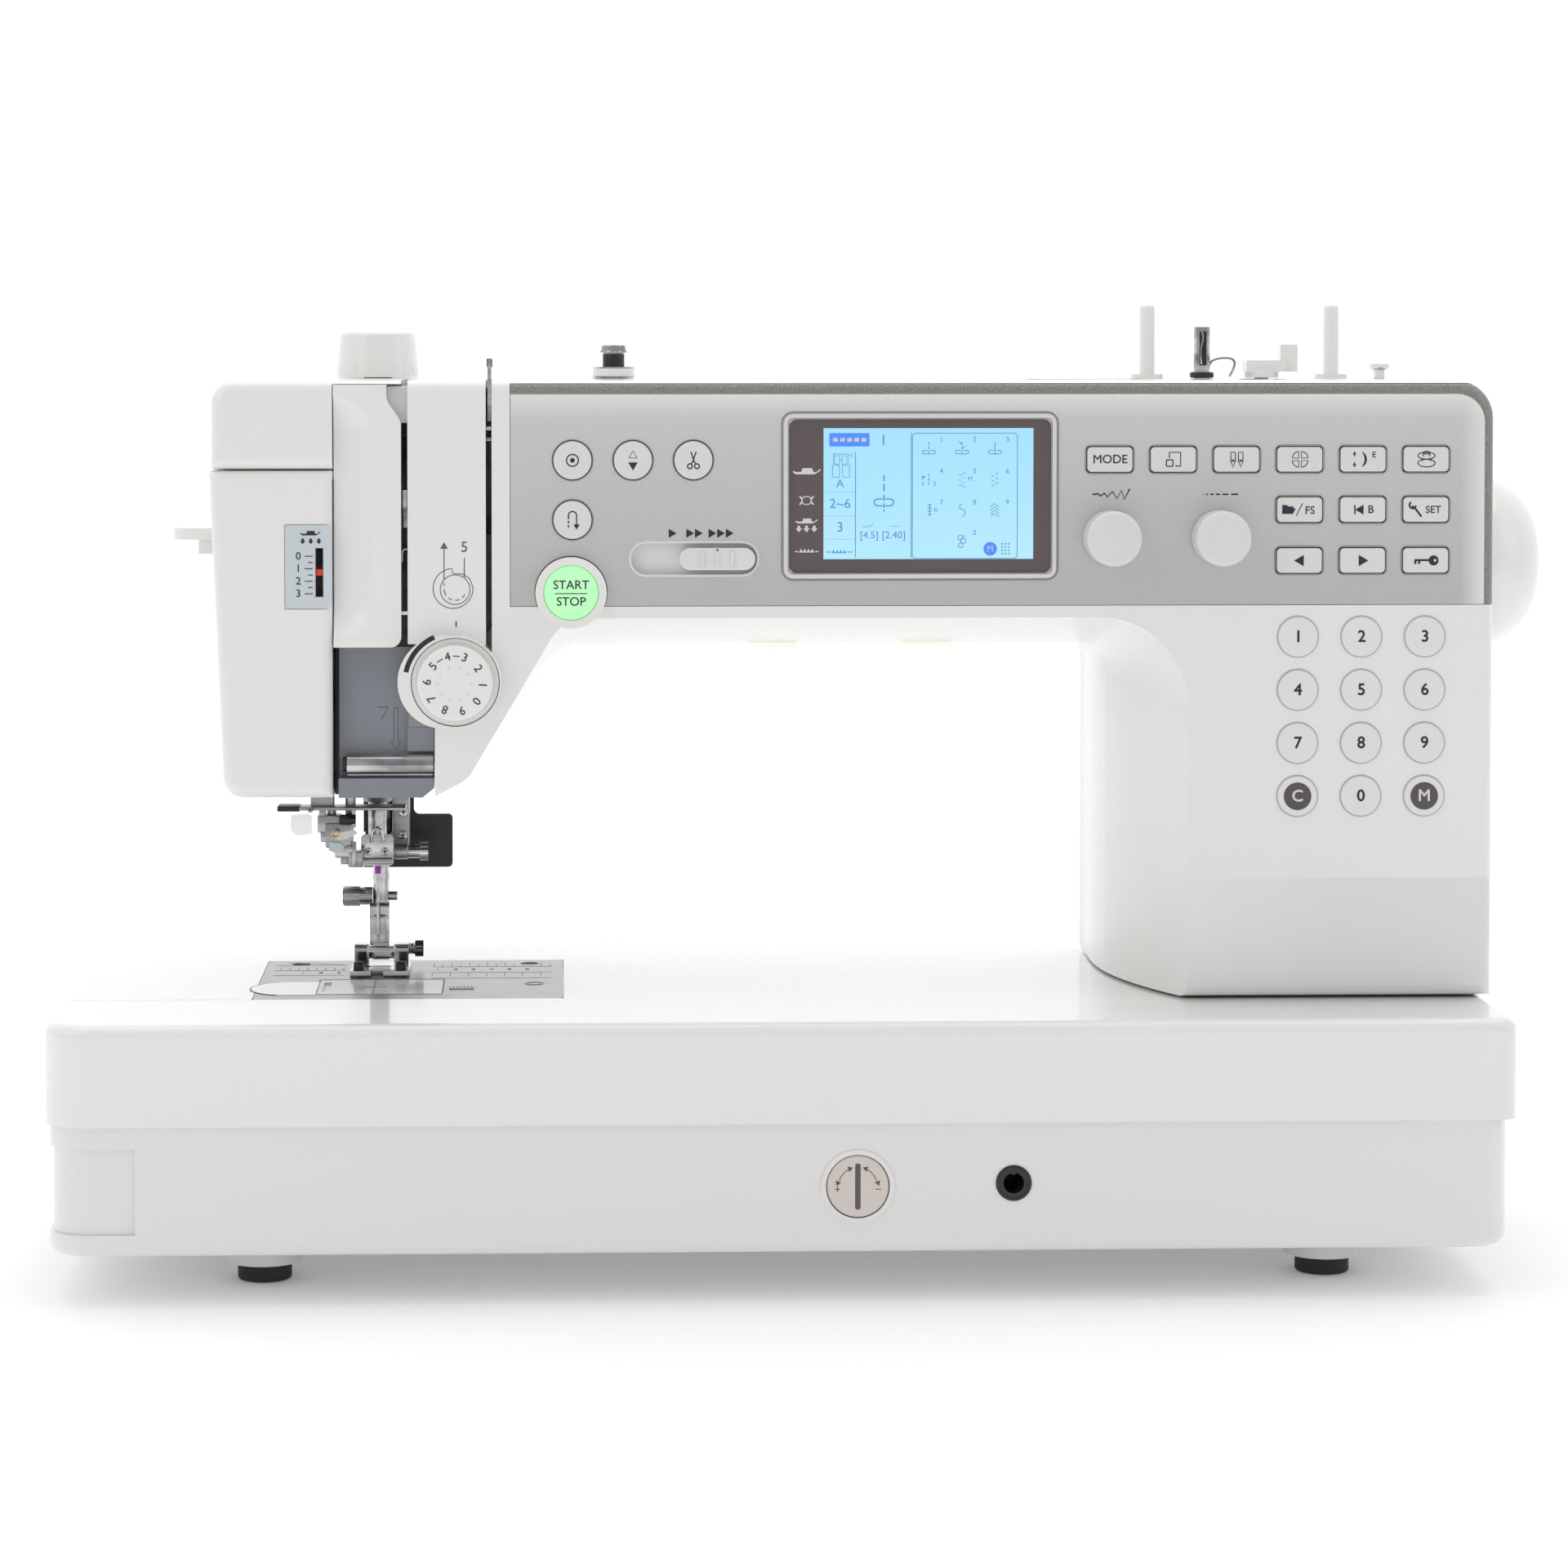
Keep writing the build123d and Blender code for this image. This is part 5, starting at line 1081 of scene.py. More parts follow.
def makeGreyPanelMarks():
    front = 51.98
    arrow = [(-0.7, 7.0), (0.7, 7.0), (0.7, -4.2), (1.7, -4.2), (0.0, -7.2), (-1.7, -4.2), (-0.7, -4.2),
             (-0.7, 7.0)]
    printMark("greyArrow", "machine", (-128.5, front, 184.3), "softInk", [arrow], 0.42)
    printMark("greySeven", "machine", (-132.8, front, 189.6), "softInk",
              [[(-1.7, 2.0), (1.7, 2.0), (-0.6, -2.2)]], 0.46)
    addBlock("greyStrip", "machine", "greyPanel", (-124.3, 49.05, 184.8), (-115.6, 52.3, 211.0), 0.5)
    # painted shade: black filler standing for the shade inside the seam beside the head
    filler = newBlock((-149.1, 54.0, 161.9), (-147.4, 100.0, 212.0))
    finishPiece(softEdges(filler, 0.2), "headSeam", "machine", "black")
    addRod("chinBarLip", "machine", "steel", (-144.7, 49.6, 169.4), (-115.8, 49.6, 169.4), 2.0, 0.3)
    addRod("chinBarEnd", "machine", "black", (-146.2, 48.4, 172.7), (-144.9, 48.4, 172.7), 2.6, 0.4)


def ribbedSleeve(start, end, radius, count, depth, name, body, finish):
    # knurled sleeve: every other strip of a cylinder's side is raised
    piece = newRod(start, end, radius, 0.0, count * 2)
    line = (at(*end) - at(*start)).normalized()
    onlyPick(piece)
    bpy.ops.object.mode_set(mode="EDIT")
    bpy.ops.mesh.select_mode(type="FACE")
    bpy.ops.mesh.select_all(action="DESELECT")
    mesh = bmesh.from_edit_mesh(piece.data)
    sides = [face for face in mesh.faces if abs(face.normal.dot(line)) < 0.5]
    across = line.orthogonal()
    other = line.cross(across)
    sides.sort(key=lambda face: math.atan2(face.normal.dot(other), face.normal.dot(across)))
    for place, face in enumerate(sides):
        face.select_set(place % 2 == 0)
    bmesh.update_edit_mesh(piece.data)
    bpy.ops.mesh.extrude_region_shrink_fatten(TRANSFORM_OT_shrink_fatten={"value": depth * mm})
    bpy.ops.object.mode_set(mode="OBJECT")
    return finishPiece(piece, name, body, finish)


def crossScrew(centre, radius, name, body, finish="chrome"):
    # screw head seen from the front, domed by a bevel, with its cross cut shown as painted shade in ink
    x, y, z = centre
    addRod(name, body, finish, (x, y, z), (x, y + 1.4, z), radius, radius * 0.28, 24)
    arm = radius * 0.55
    printMark(name + "Cross", body, (x, y - 0.01, z), "ink",
              [[(-arm, 0), (arm, 0)], [(0, -arm), (0, arm)]], radius * 0.28)


def makeNeedleClamp():
    ribbedSleeve((-122.3, 112.0, 135.2), (-119.5, 112.0, 135.2), 2.9, 14, 0.35, "clampScrewHead",
                 "needle_bar", "chrome")
    addRod("clampCollar", "needle_bar", "steel", (-131.2, 112.0, 135.2), (-126.5, 112.0, 135.2), 2.75, 0.4)
    crossScrew((-140.4, 107.6, 135.6), 1.5, "clampScrewLeft", "needle_bar")
    crossScrew((-134.5, 107.6, 135.6), 1.5, "clampScrewRight", "needle_bar")
    loop = newWire([(-139.2, 107.0, 139.0), (-139.6, 106.8, 142.4), (-137.2, 106.7, 144.2),
                    (-134.8, 106.8, 142.4),
                    (-135.2, 107.0, 139.0)], 0.55)
    finishPiece(loop, "clampLoop", "needle_bar", "chrome")
    addBlock("clampPlate", "needle_bar", "steel", (-142.2, 107.2, 131.2), (-132.0, 108.1, 133.4), 0.35)
    addRod("needleSleeve", "needle_bar", "purple", (-137.2, 112.0, 127.4), (-137.2, 112.0, 130.5), 1.12,
           0.2, 24)


# the carriage's blocks as two corners and an edge, its rods as two ends, a radius and an edge
threaderBlocks = [
    ((-157.6, 97.5, 143.6), (-149.4, 105.5, 149.6), 0.6),
    ((-154.8, 96.2, 138.4), (-145.4, 104.8, 147.0), 0.7),
    ((-156.6, 98.5, 140.2), (-154.0, 104.0, 144.4), 0.4),
    ((-151.6, 97.0, 134.8), (-144.4, 104.6, 139.4), 0.6),
    ((-149.6, 98.0, 132.4), (-146.8, 103.0, 135.6), 0.4),
    ((-147.0, 97.0, 131.5), (-141.9, 104.0, 137.0), 0.5),
]
threaderRods = [
    ((-151.2, 95.6, 143.6), (-151.2, 97.0, 143.6), 1.9, 0.3),
    ((-146.6, 95.8, 138.0), (-146.6, 97.4, 138.0), 1.5, 0.3),
    ((-152.8, 101.0, 149.4), (-152.8, 101.0, 152.4), 1.6, 0.2),
    ((-146.2, 101.0, 145.0), (-146.2, 101.0, 185.0), 1.8, 0.2),
    ((-144.8, 96.4, 132.2), (-144.8, 96.4, 140.6), 0.8, 0.1, 16),
]
threaderPlates = {
    # name: finish, centre, half thickness, edge round and outline
    "threaderCam": ("tray", (-148.2, 95.9, 142.2), 0.35, 0.12,
     [(-3.6, 1.6), (-0.4, 1.9), (3.4, 2.6), (4.6, 1.4), (2.4, 0.2), (0.8, -0.6), (-1.2, -1.0),
      (-3.4, -0.4)]),
    "threaderTab": ("window", (-150.6, 96.0, 138.4), 0.4, 0.15,
     [(-2.6, 2.2), (1.0, 1.8), (2.6, 0.2), (1.6, -1.4), (-1.0, -1.6), (-3.0, -0.6)]),
    "threaderHandle": ("clear", (-163.4, 101.5, 146.0), 0.5, 0.2,
     [(-3.4, 3.4), (2.6, 3.8), (3.6, 2.6), (3.6, -3.2), (-1.6, -3.8), (-3.4, -2.4), (-3.9, 0.4)]),
}


def addThreaderPlate(name):
    # one thin flat plate of the threader
    finish, centre, depth, soft, outline = threaderPlates[name]
    plate = softEdges(flatMark([outline], centre, "front", depth), soft, 2)
    finishPiece(plate, name, "threader", finish)


def makeThreader():
    # threader carriage: a stack of pressed and turned pieces that stands for the plain carrier
    parts = [newBlock(*shape) for shape in threaderBlocks] + [newRod(*shape) for shape in threaderRods]
    carriage = finishPiece(joinAll(parts), "threaderCarriage", "threader", "steel")
    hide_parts("needle_threader")
    addThreaderPlate("threaderCam")
    addThreaderPlate("threaderTab")
    ringOut = lineMark([ring(1.15, steps=32)], (-151.2, 95.5, 143.6), 0.7, "front", 0.3)
    finishPiece(ringOut, "threaderScrew", "threader", "gold")
    addRod("threaderDrum", "threader", "black", (-149.6, 96.6, 148.4), (-144.2, 96.6, 148.4), 1.7, 0.4)
    pin = newWire([(-143.0, 97.6, 133.0), (-142.2, 97.2, 132.0), (-141.7, 97.2, 131.8)], 0.3)
    finishPiece(pin, "threaderPin", "threader", "chrome")
    addThreaderPlate("threaderHandle")

undersideLook = {
    # blocks as two corners and an edge, rods as two ends, a radius and an edge
    "plate": [((-164.0, 97.0, 151.4), (-126.8, 107.0, 152.6), 0.4),
              ((-157.0, 97.0, 149.4), (-154.6, 99.0, 152.0), 0.4)],
    "plateEnd": ((-171.6, 97.4, 151.0), (-163.6, 106.0, 152.9), 0.5),
    "support": [((-160.0, 99.0, 152.4), (-152.0, 106.0, 164.0), 0.5),
                ((-132.4, 118.6, 136.4), (-126.4, 131.0, 163.0), 0.6)],
    "collars": [((-137.2, 112.0, 153.0), (-137.2, 112.0, 163.4), 5.2, 0.5),
                ((-136.5, 123.0, 146.0), (-136.5, 123.0, 163.4), 4.2, 0.5)],
    "screwHigh": (-128.4, 117.4, 148.4), "screwLow": (-128.6, 117.4, 140.0), "screwRadius": 1.7,
    "guardAt": (-127.1, 134.0, 136.4), "guardLeft": -16.0, "guardTop": 28.0,
    "pinAt": (-160.0, 96.0, 151.9), "pinRadius": 1.11,
}


def makeHeadUnderside():
    # pressed plate under the head, its bracket, the black guard and the support behind the needle bar
    look = undersideLook
    finishPiece(joinAll([newBlock(*shape) for shape in look["plate"]]), "underPlate", "machine", "steel")
    addBlock("underPlateEnd", "machine", "black", *look["plateEnd"])
    parts = [newBlock(*shape) for shape in look["support"]] + [newRod(*shape) for shape in look["collars"]]
    finishPiece(joinAll(parts), "barSupport", "machine", "cast")
    crossScrew(look["screwHigh"], look["screwRadius"], "supportScrewHigh", "machine")
    crossScrew(look["screwLow"], look["screwRadius"], "supportScrewLow", "machine")
    left, top = look["guardLeft"], look["guardTop"]
    shape = [(left, -9.5)] + ring(1.5, 14.2, -8.0, 270.0, 90.0, 1.0, 6)
    shape += ring(1.5, 14.2, 8.0, 0.0, 90.0, 1.0, 6) + ring(2.0, 3.9, 11.5, 270.0, -90.0, 1.0, 6)
    shape += [(1.9, top), (left, top)]
    guard = softEdges(flatMark([shape], look["guardAt"], "front", 0.9), 0.35, 2, 50.0)
    finishPiece(guard, "fingerGuard", "machine", "black")
    crossScrew(look["pinAt"], look["pinRadius"], "platePin", "machine", "steel")


footLook = {
    "middle": -136.2, "spread": 7.4,  # toes and rollers to each side
    "rollerRadius": 2.3, "rollerHalf": 1.8, "rollerAt": (103.6, 95.3),
    "toeHalf": 2.4, "toeFrom": (99.4, 93.2), "toeTo": (110.6, 94.6),
    "springFrom": -127.0, "springLength": 2.4, "springRadius": 1.9, "springTurns": 4, "springAt": (121.0,
            99.5),
    "ankle": (123.0, 118.0),  # depth and height of the ankle screw
}


def makeFootParts():
    # rollers, clear toes and window, bridge, spring and knob of the foot, and the ankle's screw
    look = footLook
    deep, level = look["rollerAt"]
    for side, name in ((-1, "Left"), (1, "Right")):
        middleX = look["middle"] + side * look["spread"]
        left, right = middleX - look["rollerHalf"], middleX + look["rollerHalf"]
        addRod("footRoller" + name, "foot", "black", (left, deep, level), (right, deep, level),
               look["rollerRadius"], 0.4, 28)
        toe = newBlock((middleX - look["toeHalf"], *look["toeFrom"]),
                       (middleX + look["toeHalf"], *look["toeTo"]), 0.4)
        toe = insetFaces(toe, lambda centre, normal: normal.z > 0.9, 0.8, -0.3)
        finishPiece(toe, "footToe" + name, "foot", "clear")
    addBlock("footWindow", "foot", "clear", (-140.0, 101.6, 94.4), (-132.4, 108.0, 95.4), 0.3)
    addBlock("footBridge", "foot", "chrome", (-141.4, 115.6, 96.6), (-131.0, 118.6, 101.0), 0.8)
    points = []
    deep, level = look["springAt"]
    radius, count = look["springRadius"], look["springTurns"] * 10
    for step in range(count + 1):
        angle = step * math.tau / 10
        along = look["springFrom"] + look["springLength"] * step / count
        points.append((along, deep + radius * math.cos(angle), level + radius * math.sin(angle)))
    finishPiece(newWire(points, 0.28), "footSpring", "foot", "chrome")
    ribbedSleeve((-124.4, deep, level), (-121.5, deep, level), 2.6, 10, 0.3, "footKnob", "foot", "black")
    deep, level = look["ankle"]
    ribbedSleeve((-149.6, deep, level), (-144.0, deep, level), 3.3, 16, 0.3, "ankleScrewHead", "presser",
                 "chrome")
    addRod("ankleScrewNeck", "presser", "steel", (-143.9, deep, level), (-140.4, deep, level), 2.4, 0.3)
    lever = newBlock((-138.8, 116.4, 102.0), (-134.6, 117.6, 112.0), 0.5)
    insetFaces(lever, lambda centre, normal: normal.y < -0.9, 0.7, -0.25)
    finishPiece(lever, "ankleFace", "presser", "chrome")


plateLook = {
    "top": 92.22,
    "rulerFrom": -118.0, "rulerTo": -76.0, "rulerStep": 3.175,  # right-hand seam guides
    "rulerRows": (125.0, 112.0, 99.0),
    "leftFrom": -172.0, "leftRows": (130.0, 118.0, 107.0),
    "middle": (-124.7, 97.0),
    "figure": 2.6,  # height
}


def makePlateMarks():
    # seam guides, figures, cover release, slots and rims on the needle plate
    look = plateLook
    across0, up0 = look["middle"]
    middle = (across0, up0, look["top"])
    lines = []
    count = int((look["rulerTo"] - look["rulerFrom"]) / look["rulerStep"]) + 1
    for place in range(count):
        across = look["rulerFrom"] + place * look["rulerStep"]
        reach = 9.0 if place % 2 == 0 else 5.5
        lines.append([(across, 125.0), (across, 125.0 + reach)])
        if place % 2 == 0:
            lines.append([(across, 104.0), (across, 110.0)])
    for row in look["rulerRows"]:
        lines.append([(look["rulerFrom"], row), (look["rulerTo"], row)])
    for place in range(8):
        across = look["leftFrom"] + place * look["rulerStep"]
        lines.append([(across, 118.0), (across, 124.0)])
    for row in look["leftRows"]:
        lines.append([(-174.0, row), (-149.0, row)])
    lines.append([(-170.0, 136.0), (-160.0, 134.0), (-150.0, 131.0)])
    words = [(str(place + 1), look["rulerFrom"] + place * 6.35 + 1.6, 119.0) for place in range(6)]
    words += [(str(place), -170.0 + place * 6.35, 112.6) for place in range(1, 4)]
    words = [(text, across - across0, up - up0, look["figure"]) for text, across, up in words]
    lines = shifted(lines, -across0, -up0)
    printMark("plateGuides", "machine", middle, "softInk", lines, 0.3, (), words, "top", 0.0)
    release = ring(15.0, 0.0, 0.0, 110.0, 140.0, 1.0, 20) + [(-2.0, -14.0), (8.0, -14.0), (8.0, 14.0),
            (-2.0, 14.0)]
    piece = flatMark([release], (-164.6, 77.0, look["top"] + 0.05), "top", 0.1)
    finishPiece(piece, "coverRelease", "machine", "tray")
    edge = lineMark([release[:21]], (-164.6, 77.0, look["top"] + 0.1), 0.6, "top", 0.1)
    finishPiece(edge, "coverReleaseEdge", "machine", "black")
    # painted shade: black area standing for the dark inside of the ribbed slot
    slot = flatMark([frameLine(0.0, 0.0, 8.6, 6.6, 0.6)[:-1]], (-107.0, 77.0, look["top"] + 0.02), "top",
                    0.05)
    finishPiece(slot, "ribbedSlot", "machine", "black")
    ribs = [newBlock((-110.7 + step * 1.25, 74.0, 92.1), (-110.1 + step * 1.25, 80.0, 92.5),
                     0.1) for step in range(7)]
    finishPiece(joinAll(ribs), "ribbedSlotRibs", "machine", "plate")
    hole = lineMark([ring(2.4, steps=32), ring(3.4, steps=32)], (-82.0, 86.0, look["top"] + 0.02), 0.3,
                    "top")
    finishPiece(hole, "plateHoleRing", "machine", "softInk")
    rim = lineMark([frameLine(0.0, 0.0, 43.0, 32.2, 0.8)], (-135.0, 80.5, look["top"] + 0.02), 0.35, "top",
                   0.08)
    finishPiece(rim, "bobbinCoverRim", "machine", "softInk")
    centreLine = lineMark([[(0.0, -14.0), (0.0, 14.0)], [(-4.0, 0.0), (4.0, 0.0)]], (-137.2, 80.5, 92.26),
                          0.3, "top")
    finishPiece(centreLine, "bobbinCoverMark", "machine", "softInk")


topLook = {
    "guide": (-54.2, 100.0),  # pre-tension guide
    "guideRods": {  # finish, bottom, top, radius and edge
        "guidePost": ("black", 305.4, 310.6, 3.8, 0.3),
        "guideDisc": ("chrome", 310.9, 311.8, 4.7, 0.35, 40),
        "guideCap": ("steel", 312.2, 313.6, 4.2, 0.5, 40),
    },
    "spindle": 151.1,
    "printLevel": 302.03,
}


def makeTopParts():
    # pre-tension guide, wire loop, white hook, winder spindle and the two prints on the top cover
    guideX, guideY = topLook["guide"]
    collar = newRod((guideX, guideY, 302.1), (guideX, guideY, 306.2), 7.4, 1.0, 48)
    insetFaces(collar, lambda centre, normal: normal.z > 0.9, 1.6, -0.5)
    finishPiece(collar, "guideCollar", "machine", "shell")
    for name, (finish, low, high, *rest) in topLook["guideRods"].items():
        addRod(name, "machine", finish, (guideX, guideY, low), (guideX, guideY, high), *rest)
    loop = newWire([(153.6, 96.0, 303.0), (153.4, 96.0, 307.6), (157.5, 96.0, 309.2), (162.4, 95.8, 309.0),
                    (163.0, 95.6, 306.2), (160.8, 95.4, 302.6)], 0.45)
    finishPiece(loop, "winderWire", "machine", "chrome")
    hook = joinAll([newBlock((211.6, 92.6, 301.9), (215.0, 97.4, 306.0), 0.5),
                    newBlock((210.2, 92.2, 305.4), (216.4, 97.8, 307.2), 0.5)])
    finishPiece(hook, "topHook", "machine", "shell")
    spindleX = topLook["spindle"]
    addRod("spindleBase", "machine", "black", (spindleX, 95.0, 302.2), (spindleX, 95.0, 304.2), 4.2, 0.5)
    # painted shade: black block standing for the dark inside of the spindle's slit
    addBlock("spindleSlit", "winder_spindle", "black", (spindleX - 1.2, 91.9, 306.5),
             (spindleX + 1.2, 92.6, 318.4), 0.2)
    spring = newWire([(spindleX - 0.6, 91.7, 307.0), (spindleX - 1.2, 91.2, 311.5),
                      (spindleX + 0.2, 91.6, 316.0), (spindleX - 0.4, 91.9, 318.2)], 0.3)
    finishPiece(spring, "spindleSpring", "winder_spindle", "chrome")
    figure = [ring(5.0, steps=32), [(7.0, 0.0), (11.0, 0.0)], [(10.0, 1.0), (11.2, 0.0), (10.0, -1.0)]]
    printMark("winderPrint", "machine", (165.0, 70.0, topLook["printLevel"]), "softInk", figure, 0.4,
              facing="top")
    path = [[(-18.0, 0.0), (-6.0, 0.0), (0.0, 4.0), (12.0, 4.0)], ring(2.4, -20.6, 0.0),
            ring(2.4, 14.8, 4.0)]
    printMark("topThreadPrint", "machine", (110.0, 70.0, topLook["printLevel"]), "softInk", path, 0.4,
              facing="top")


bedLook = {"balanceRim": (24.4, 1.45, 38.1), "balanceRadius": 11.4,
           "kneeRim": (75.7, 1.1, 38.9), "kneeRadius": 5.2}


def makeBedParts():
    # balance dial: arrows, slot and rim; knee socket: rim and key
    across, front, up = frontOf("balance_dial")
    arcs = [ring(6.4, 0.0, 0.0, 118.0, 44.0, 1.0, 8), ring(6.4, 0.0, 0.0, 18.0, 44.0, 1.0, 8)]
    heads = [wedge(-2.6, 5.9, 1.1, 20.0), wedge(-6.6, 1.2, 1.1, 250.0), wedge(2.6, 5.9, 1.1, 160.0),
             wedge(6.6, 1.2, 1.1, 290.0)]
    signs = [[(-7.6, -0.9), (-5.8, -0.9)], [(-6.7, 0.0), (-6.7, -1.8)], [(5.8, -0.9), (7.6, -0.9)]]
    printMark("balanceMarks", "balance_dial", (across, front - 0.01, up), "disc", arcs + signs, 0.32, heads)
    addBlock("balanceSlot", "balance_dial", "disc", (across - 0.6, front - 0.06, up - 7.6),
             (across + 0.6, front + 0.1, up + 7.6), 0.02)
    rim = lineMark([ring(bedLook["balanceRadius"], steps=64)], bedLook["balanceRim"], 1.1, "front", 0.3)
    finishPiece(rim, "balanceRim", "machine", "shell")
    knee = lineMark([ring(bedLook["kneeRadius"], steps=48)], bedLook["kneeRim"], 0.9, "front", 0.25)
    finishPiece(knee, "kneeRim", "machine", "black")
    addBlock("kneeKey", "machine", "black", (74.9, 1.6, 41.6), (76.5, 4.0, 43.6), 0.2)


sliderLook = {
    "slotMiddle": -27.95, "slotSize": (43.2, 11.3, 5.4), "level": 242.0,
    "shutter": ((-50.6, 47.03, 236.3), (9.6, 47.26, 247.7)),
    "notch": (-20.2, 41.75, 245.2),
}


def makeSlider():
    # shutter behind the slider, rim of its slot and the slider's index notch
    look = sliderLook
    addBlock("sliderShutter", "speed", "tray", *look["shutter"])
    lip = lineMark([frameLine(look["slotMiddle"], 0.0, *look["slotSize"])],
                   (0.0, panelLook["front"], look["level"]), 0.9, "front", 0.3)
    finishPiece(lip, "sliderLip", "machine", "rim")
    printMark("sliderNotch", "speed", look["notch"], "ink", areas=[wedge(0.0, 0.0, 0.5, 270.0)])


lampLook = {"lefts": {"Left": -8.0, "Right": 46.0}, "width": 18.0, "depth": (92.0, 104.0),
            "height": (207.3, 209.4)}


def makeArmLamps():
    # two lamp lenses under the arm
    look = lampLook
    (near, far), (low, high) = look["depth"], look["height"]
    for name, left in look["lefts"].items():
        addBlock("armLamp" + name, "machine", "lamp", (left, near, low), (left + look["width"], far, high),
                 0.5)


backLook = {
    "ventFrom": (150.0, 120.0), "ventSize": (32.0, 2.4), "ventStep": (36.0, 6.0), "ventCount": (2, 7),
    "screwRadius": 3.2,
    "screws": ((-176.0, 282.0), (-40.0, 290.0), (100.0, 290.0), (226.0, 286.0), (226.0, 112.0),
               (134.0, 112.0),
               (-176.0, 180.0)),
    "crossReach": 1.6,
    "plate": ((160.0, 176.0), (214.0, 200.0)),  # two corners of the blank plate
}


def makeBack():
    # vents shown as black slits of painted shade, screws with their cross cuts as painted shade in ink, and
    # a blank plate on the rear cover
    look = backLook
    rear = (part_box("rear_cover")[1].y - bedFront) / mm
    wide, high = look["ventSize"]
    slits = []
    for row in range(look["ventCount"][1]):
        for column in range(look["ventCount"][0]):
            left = look["ventFrom"][0] + column * look["ventStep"][0]
            low = look["ventFrom"][1] + row * look["ventStep"][1]
            slits.append(newBlock((left, rear - 0.25, low), (left + wide, rear + 0.03, low + high)))
    # painted shade: black slits standing for the dark inside of the vents
    finishPiece(joinAll(slits), "rearVents", "machine", "black")
    reach = look["crossReach"]
    cross = [[(-reach, 0.0), (reach, 0.0)], [(0.0, -reach), (0.0, reach)]]
    for place, (across, up) in enumerate(look["screws"]):
        name = "rearScrew" + str(place + 1)
        addRod(name, "machine", "zinc", (across, rear - 0.6, up), (across, rear + 0.12, up),
               look["screwRadius"], 0.25, 28)
        # painted shade: each screw's cross cut drawn in ink
        printMark(name + "Cross", "machine", (across, rear + 0.13, up), "ink", cross, 0.6, facing="back")
    (left, low), (right, high) = look["plate"]
    addBlock("rearPlate", "machine", "rim", (left, rear - 0.3, low), (right, rear + 0.08, high), 0.06)


makePressureWindow()
makeThreadPrints()
makeChannelParts()
makeThreadSlab()
makeTensionDial()
makeGreyPanelMarks()
print("head dressed")
makeNeedleClamp()
makeThreader()
makeHeadUnderside()
makeFootParts()
makePlateMarks()
print("needle, foot and plate dressed")
makeTopParts()
makeBedParts()
makeSlider()
makeArmLamps()
makeBack()
print("top, bed and back dressed")

stageLook = {
    "floor": 8.0,  # side of the floor
    "lens": 96.2,
    "shiftX": 0.06,
    "shiftY": -0.20,
    "eye": (-74.6, -1362.0, 320.2),  # bed millimetres
    "fullShiftX": 0.146,  # what the framing would need with no turn of the camera
    "fullShiftY": -0.292,
    "skyBack": 1.15,  # brightness of the sky behind, in front and how much it falls off to the sides
    "skyFront": 0.54,
    "skySide": 0.22,
    "fadeFrom": 0.7,  # where the floor starts to melt into the white behind, and over what width
    "fadeOver": 0.9,
}


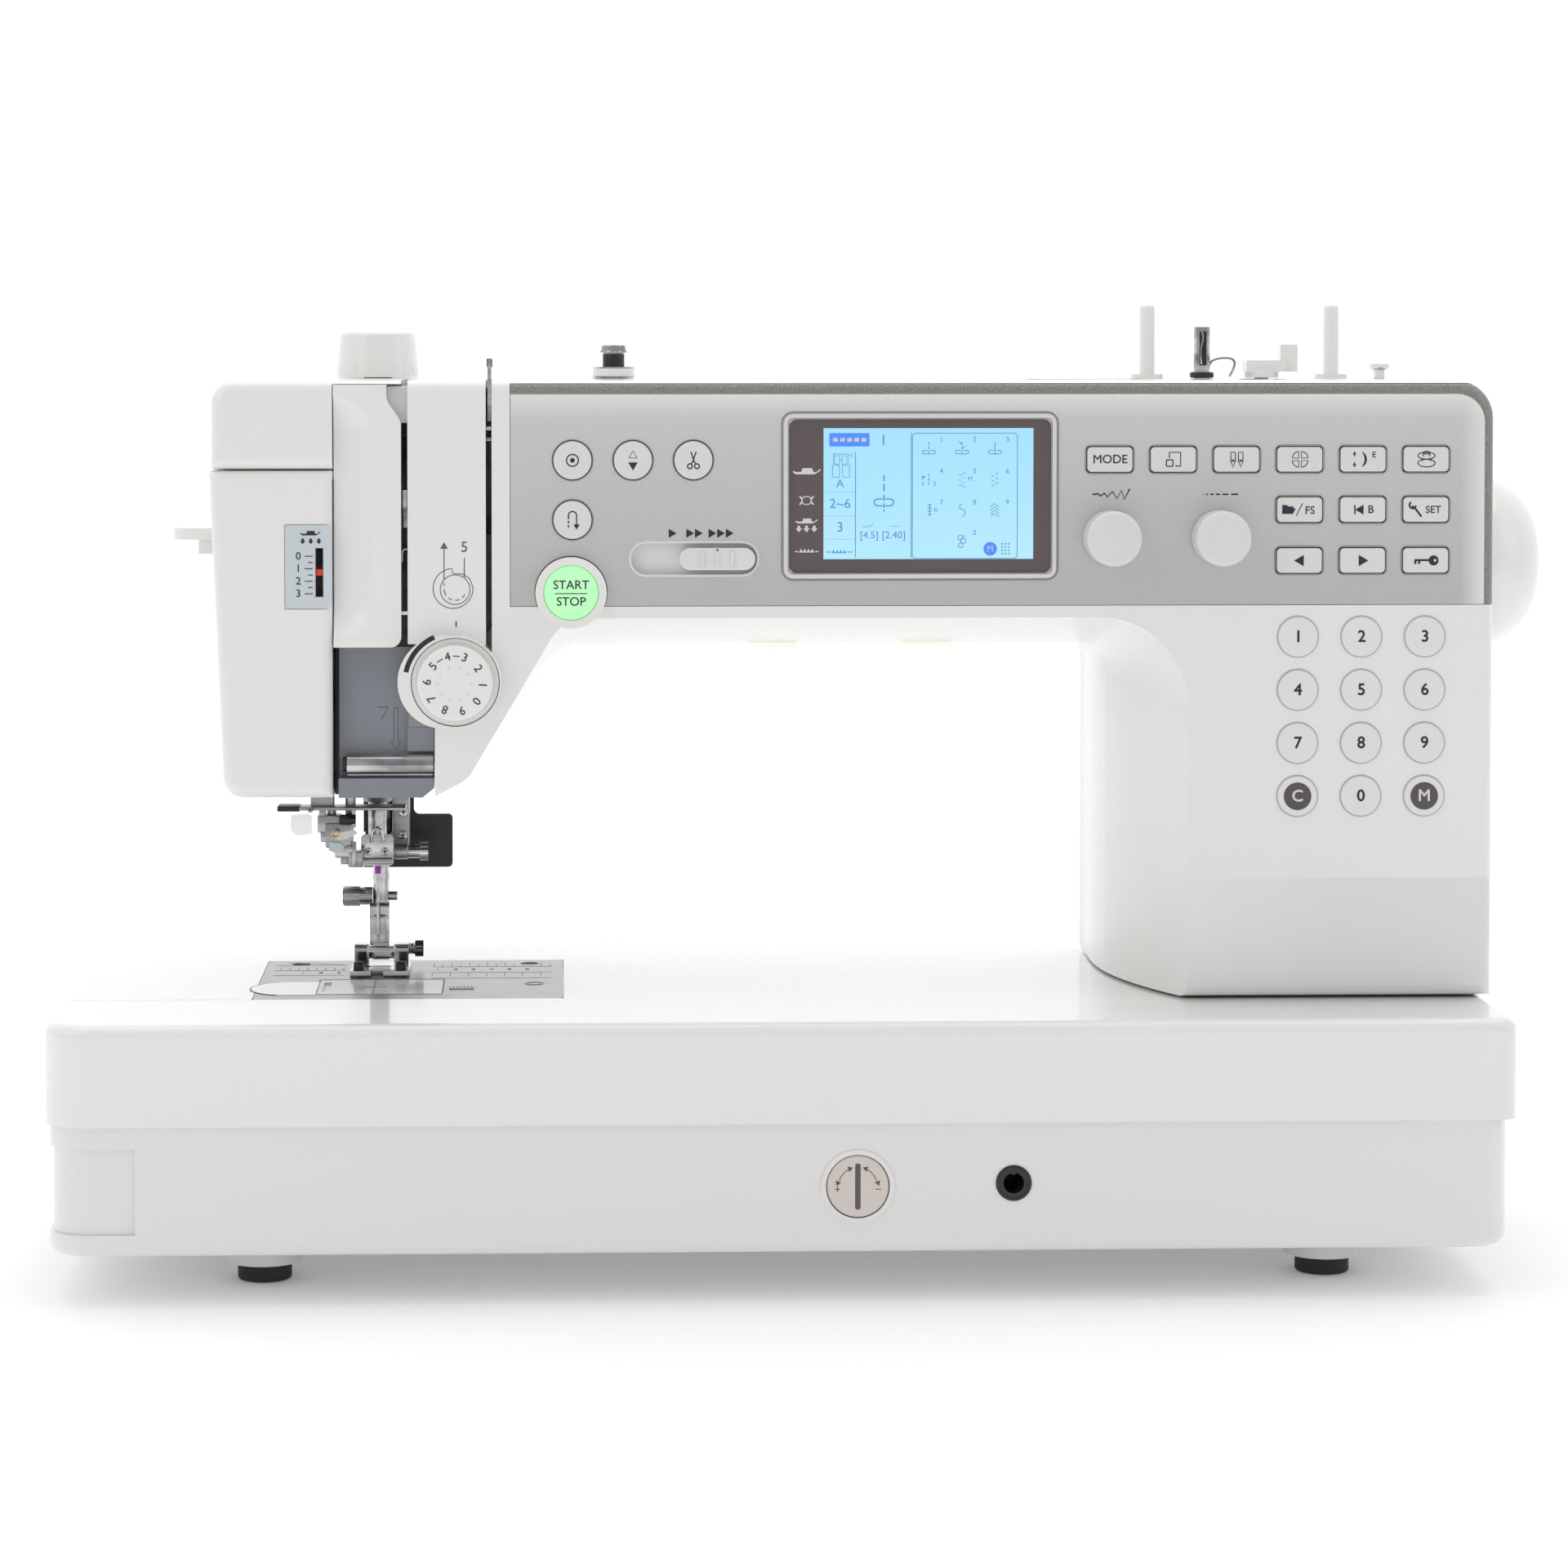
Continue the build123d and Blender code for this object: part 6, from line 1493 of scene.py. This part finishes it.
def makeStage():
    freePick()
    bpy.ops.mesh.primitive_plane_add(size=stageLook["floor"], location=(0, 0, -0.0003))
    floor = bpy.context.object
    floor.name = "studioFloor"
    finish = Coat("studioPaper")
    clouds = finish.noise(3.0, 2.0)
    finish.put(Base_Color=finish.blend(clouds, rgb(0.93, 0.93, 0.93), rgb(0.96, 0.96, 0.96)))
    finish.put(Roughness=clouds * 0.1 + 0.75)
    finish.put(Emission_Color=rgb(1.0, 1.0, 1.0), Emission_Strength=0.12)
    reach = (finish.axis("X") * finish.axis("X") + finish.axis("Y") * finish.axis("Y")) ** 0.5
    finish.put(Alpha=1.0 - ((reach - stageLook["fadeFrom"]) * (1.0 / stageLook["fadeOver"])).clip())
    floor.data.materials.append(finish.material)
    settle(floor)
    world = bpy.data.worlds.new("studioSky")
    bpy.context.scene.world = world
    world.use_nodes = True
    tree = world.node_tree
    coords = tree.nodes.new("ShaderNodeTexCoord")
    parts = tree.nodes.new("ShaderNodeSeparateXYZ")
    tree.links.new(coords.outputs["Generated"], parts.inputs[0])
    side, back = Sig(tree, parts.outputs["X"]), Sig(tree, parts.outputs["Y"])
    front, far = stageLook["skyFront"], stageLook["skyBack"]
    light = ((back + 0.9) * (1.0 / 1.4)).clip() * (far - front) + front - side * side * stageLook["skySide"]
    tree.links.new(light.socket, tree.nodes["Background"].inputs["Strength"])
    tree.nodes["Background"].inputs["Color"].default_value = (1.0, 1.0, 1.0, 1.0)
    bpy.context.scene.view_settings.view_transform = "Standard"


def addLamp(name, place, aim, size, power, colour=(1.0, 1.0, 1.0)):
    data = bpy.data.lights.new(name, "AREA")
    data.shape = "RECTANGLE"
    data.size, data.size_y = size
    data.energy = power
    data.color = colour
    lamp = bpy.data.objects.new(name, data)
    bpy.context.scene.collection.objects.link(lamp)
    lamp.location = place
    lamp.rotation_euler = (Vector(aim) - Vector(place)).to_track_quat("-Z", "Y").to_euler()


def makeCamera():
    data = bpy.data.cameras.new("studioCamera")
    data.lens = stageLook["lens"]
    data.sensor_width = 36.0
    data.shift_x = stageLook["shiftX"]
    data.shift_y = stageLook["shiftY"]
    camera = bpy.data.objects.new("studioCamera", data)
    bpy.context.scene.collection.objects.link(camera)
    camera.location = at(*stageLook["eye"])
    view = data.sensor_width / data.lens
    pan = math.atan((stageLook["fullShiftX"] - data.shift_x) * view)
    tilt = math.atan((stageLook["fullShiftY"] - data.shift_y) * view)
    camera.rotation_euler = (math.radians(90.0) + tilt, 0.0, -pan)
    bpy.context.scene.camera = camera


makeStage()
addLamp("topSoftbox", (0.0, 0.15, 1.6), (0.0, 0.0, 0.1), (1.8, 1.2), 6.0)
addLamp("leftSoftbox", (-1.3, -1.0, 1.1), (0.0, 0.0, 0.15), (0.9, 1.2), 3.0, (1.0, 0.995, 0.98))
addLamp("rightSoftbox", (1.5, -0.8, 0.9), (0.0, 0.0, 0.15), (0.7, 1.1), 1.5)
makeCamera()
print("stage, light and camera set")
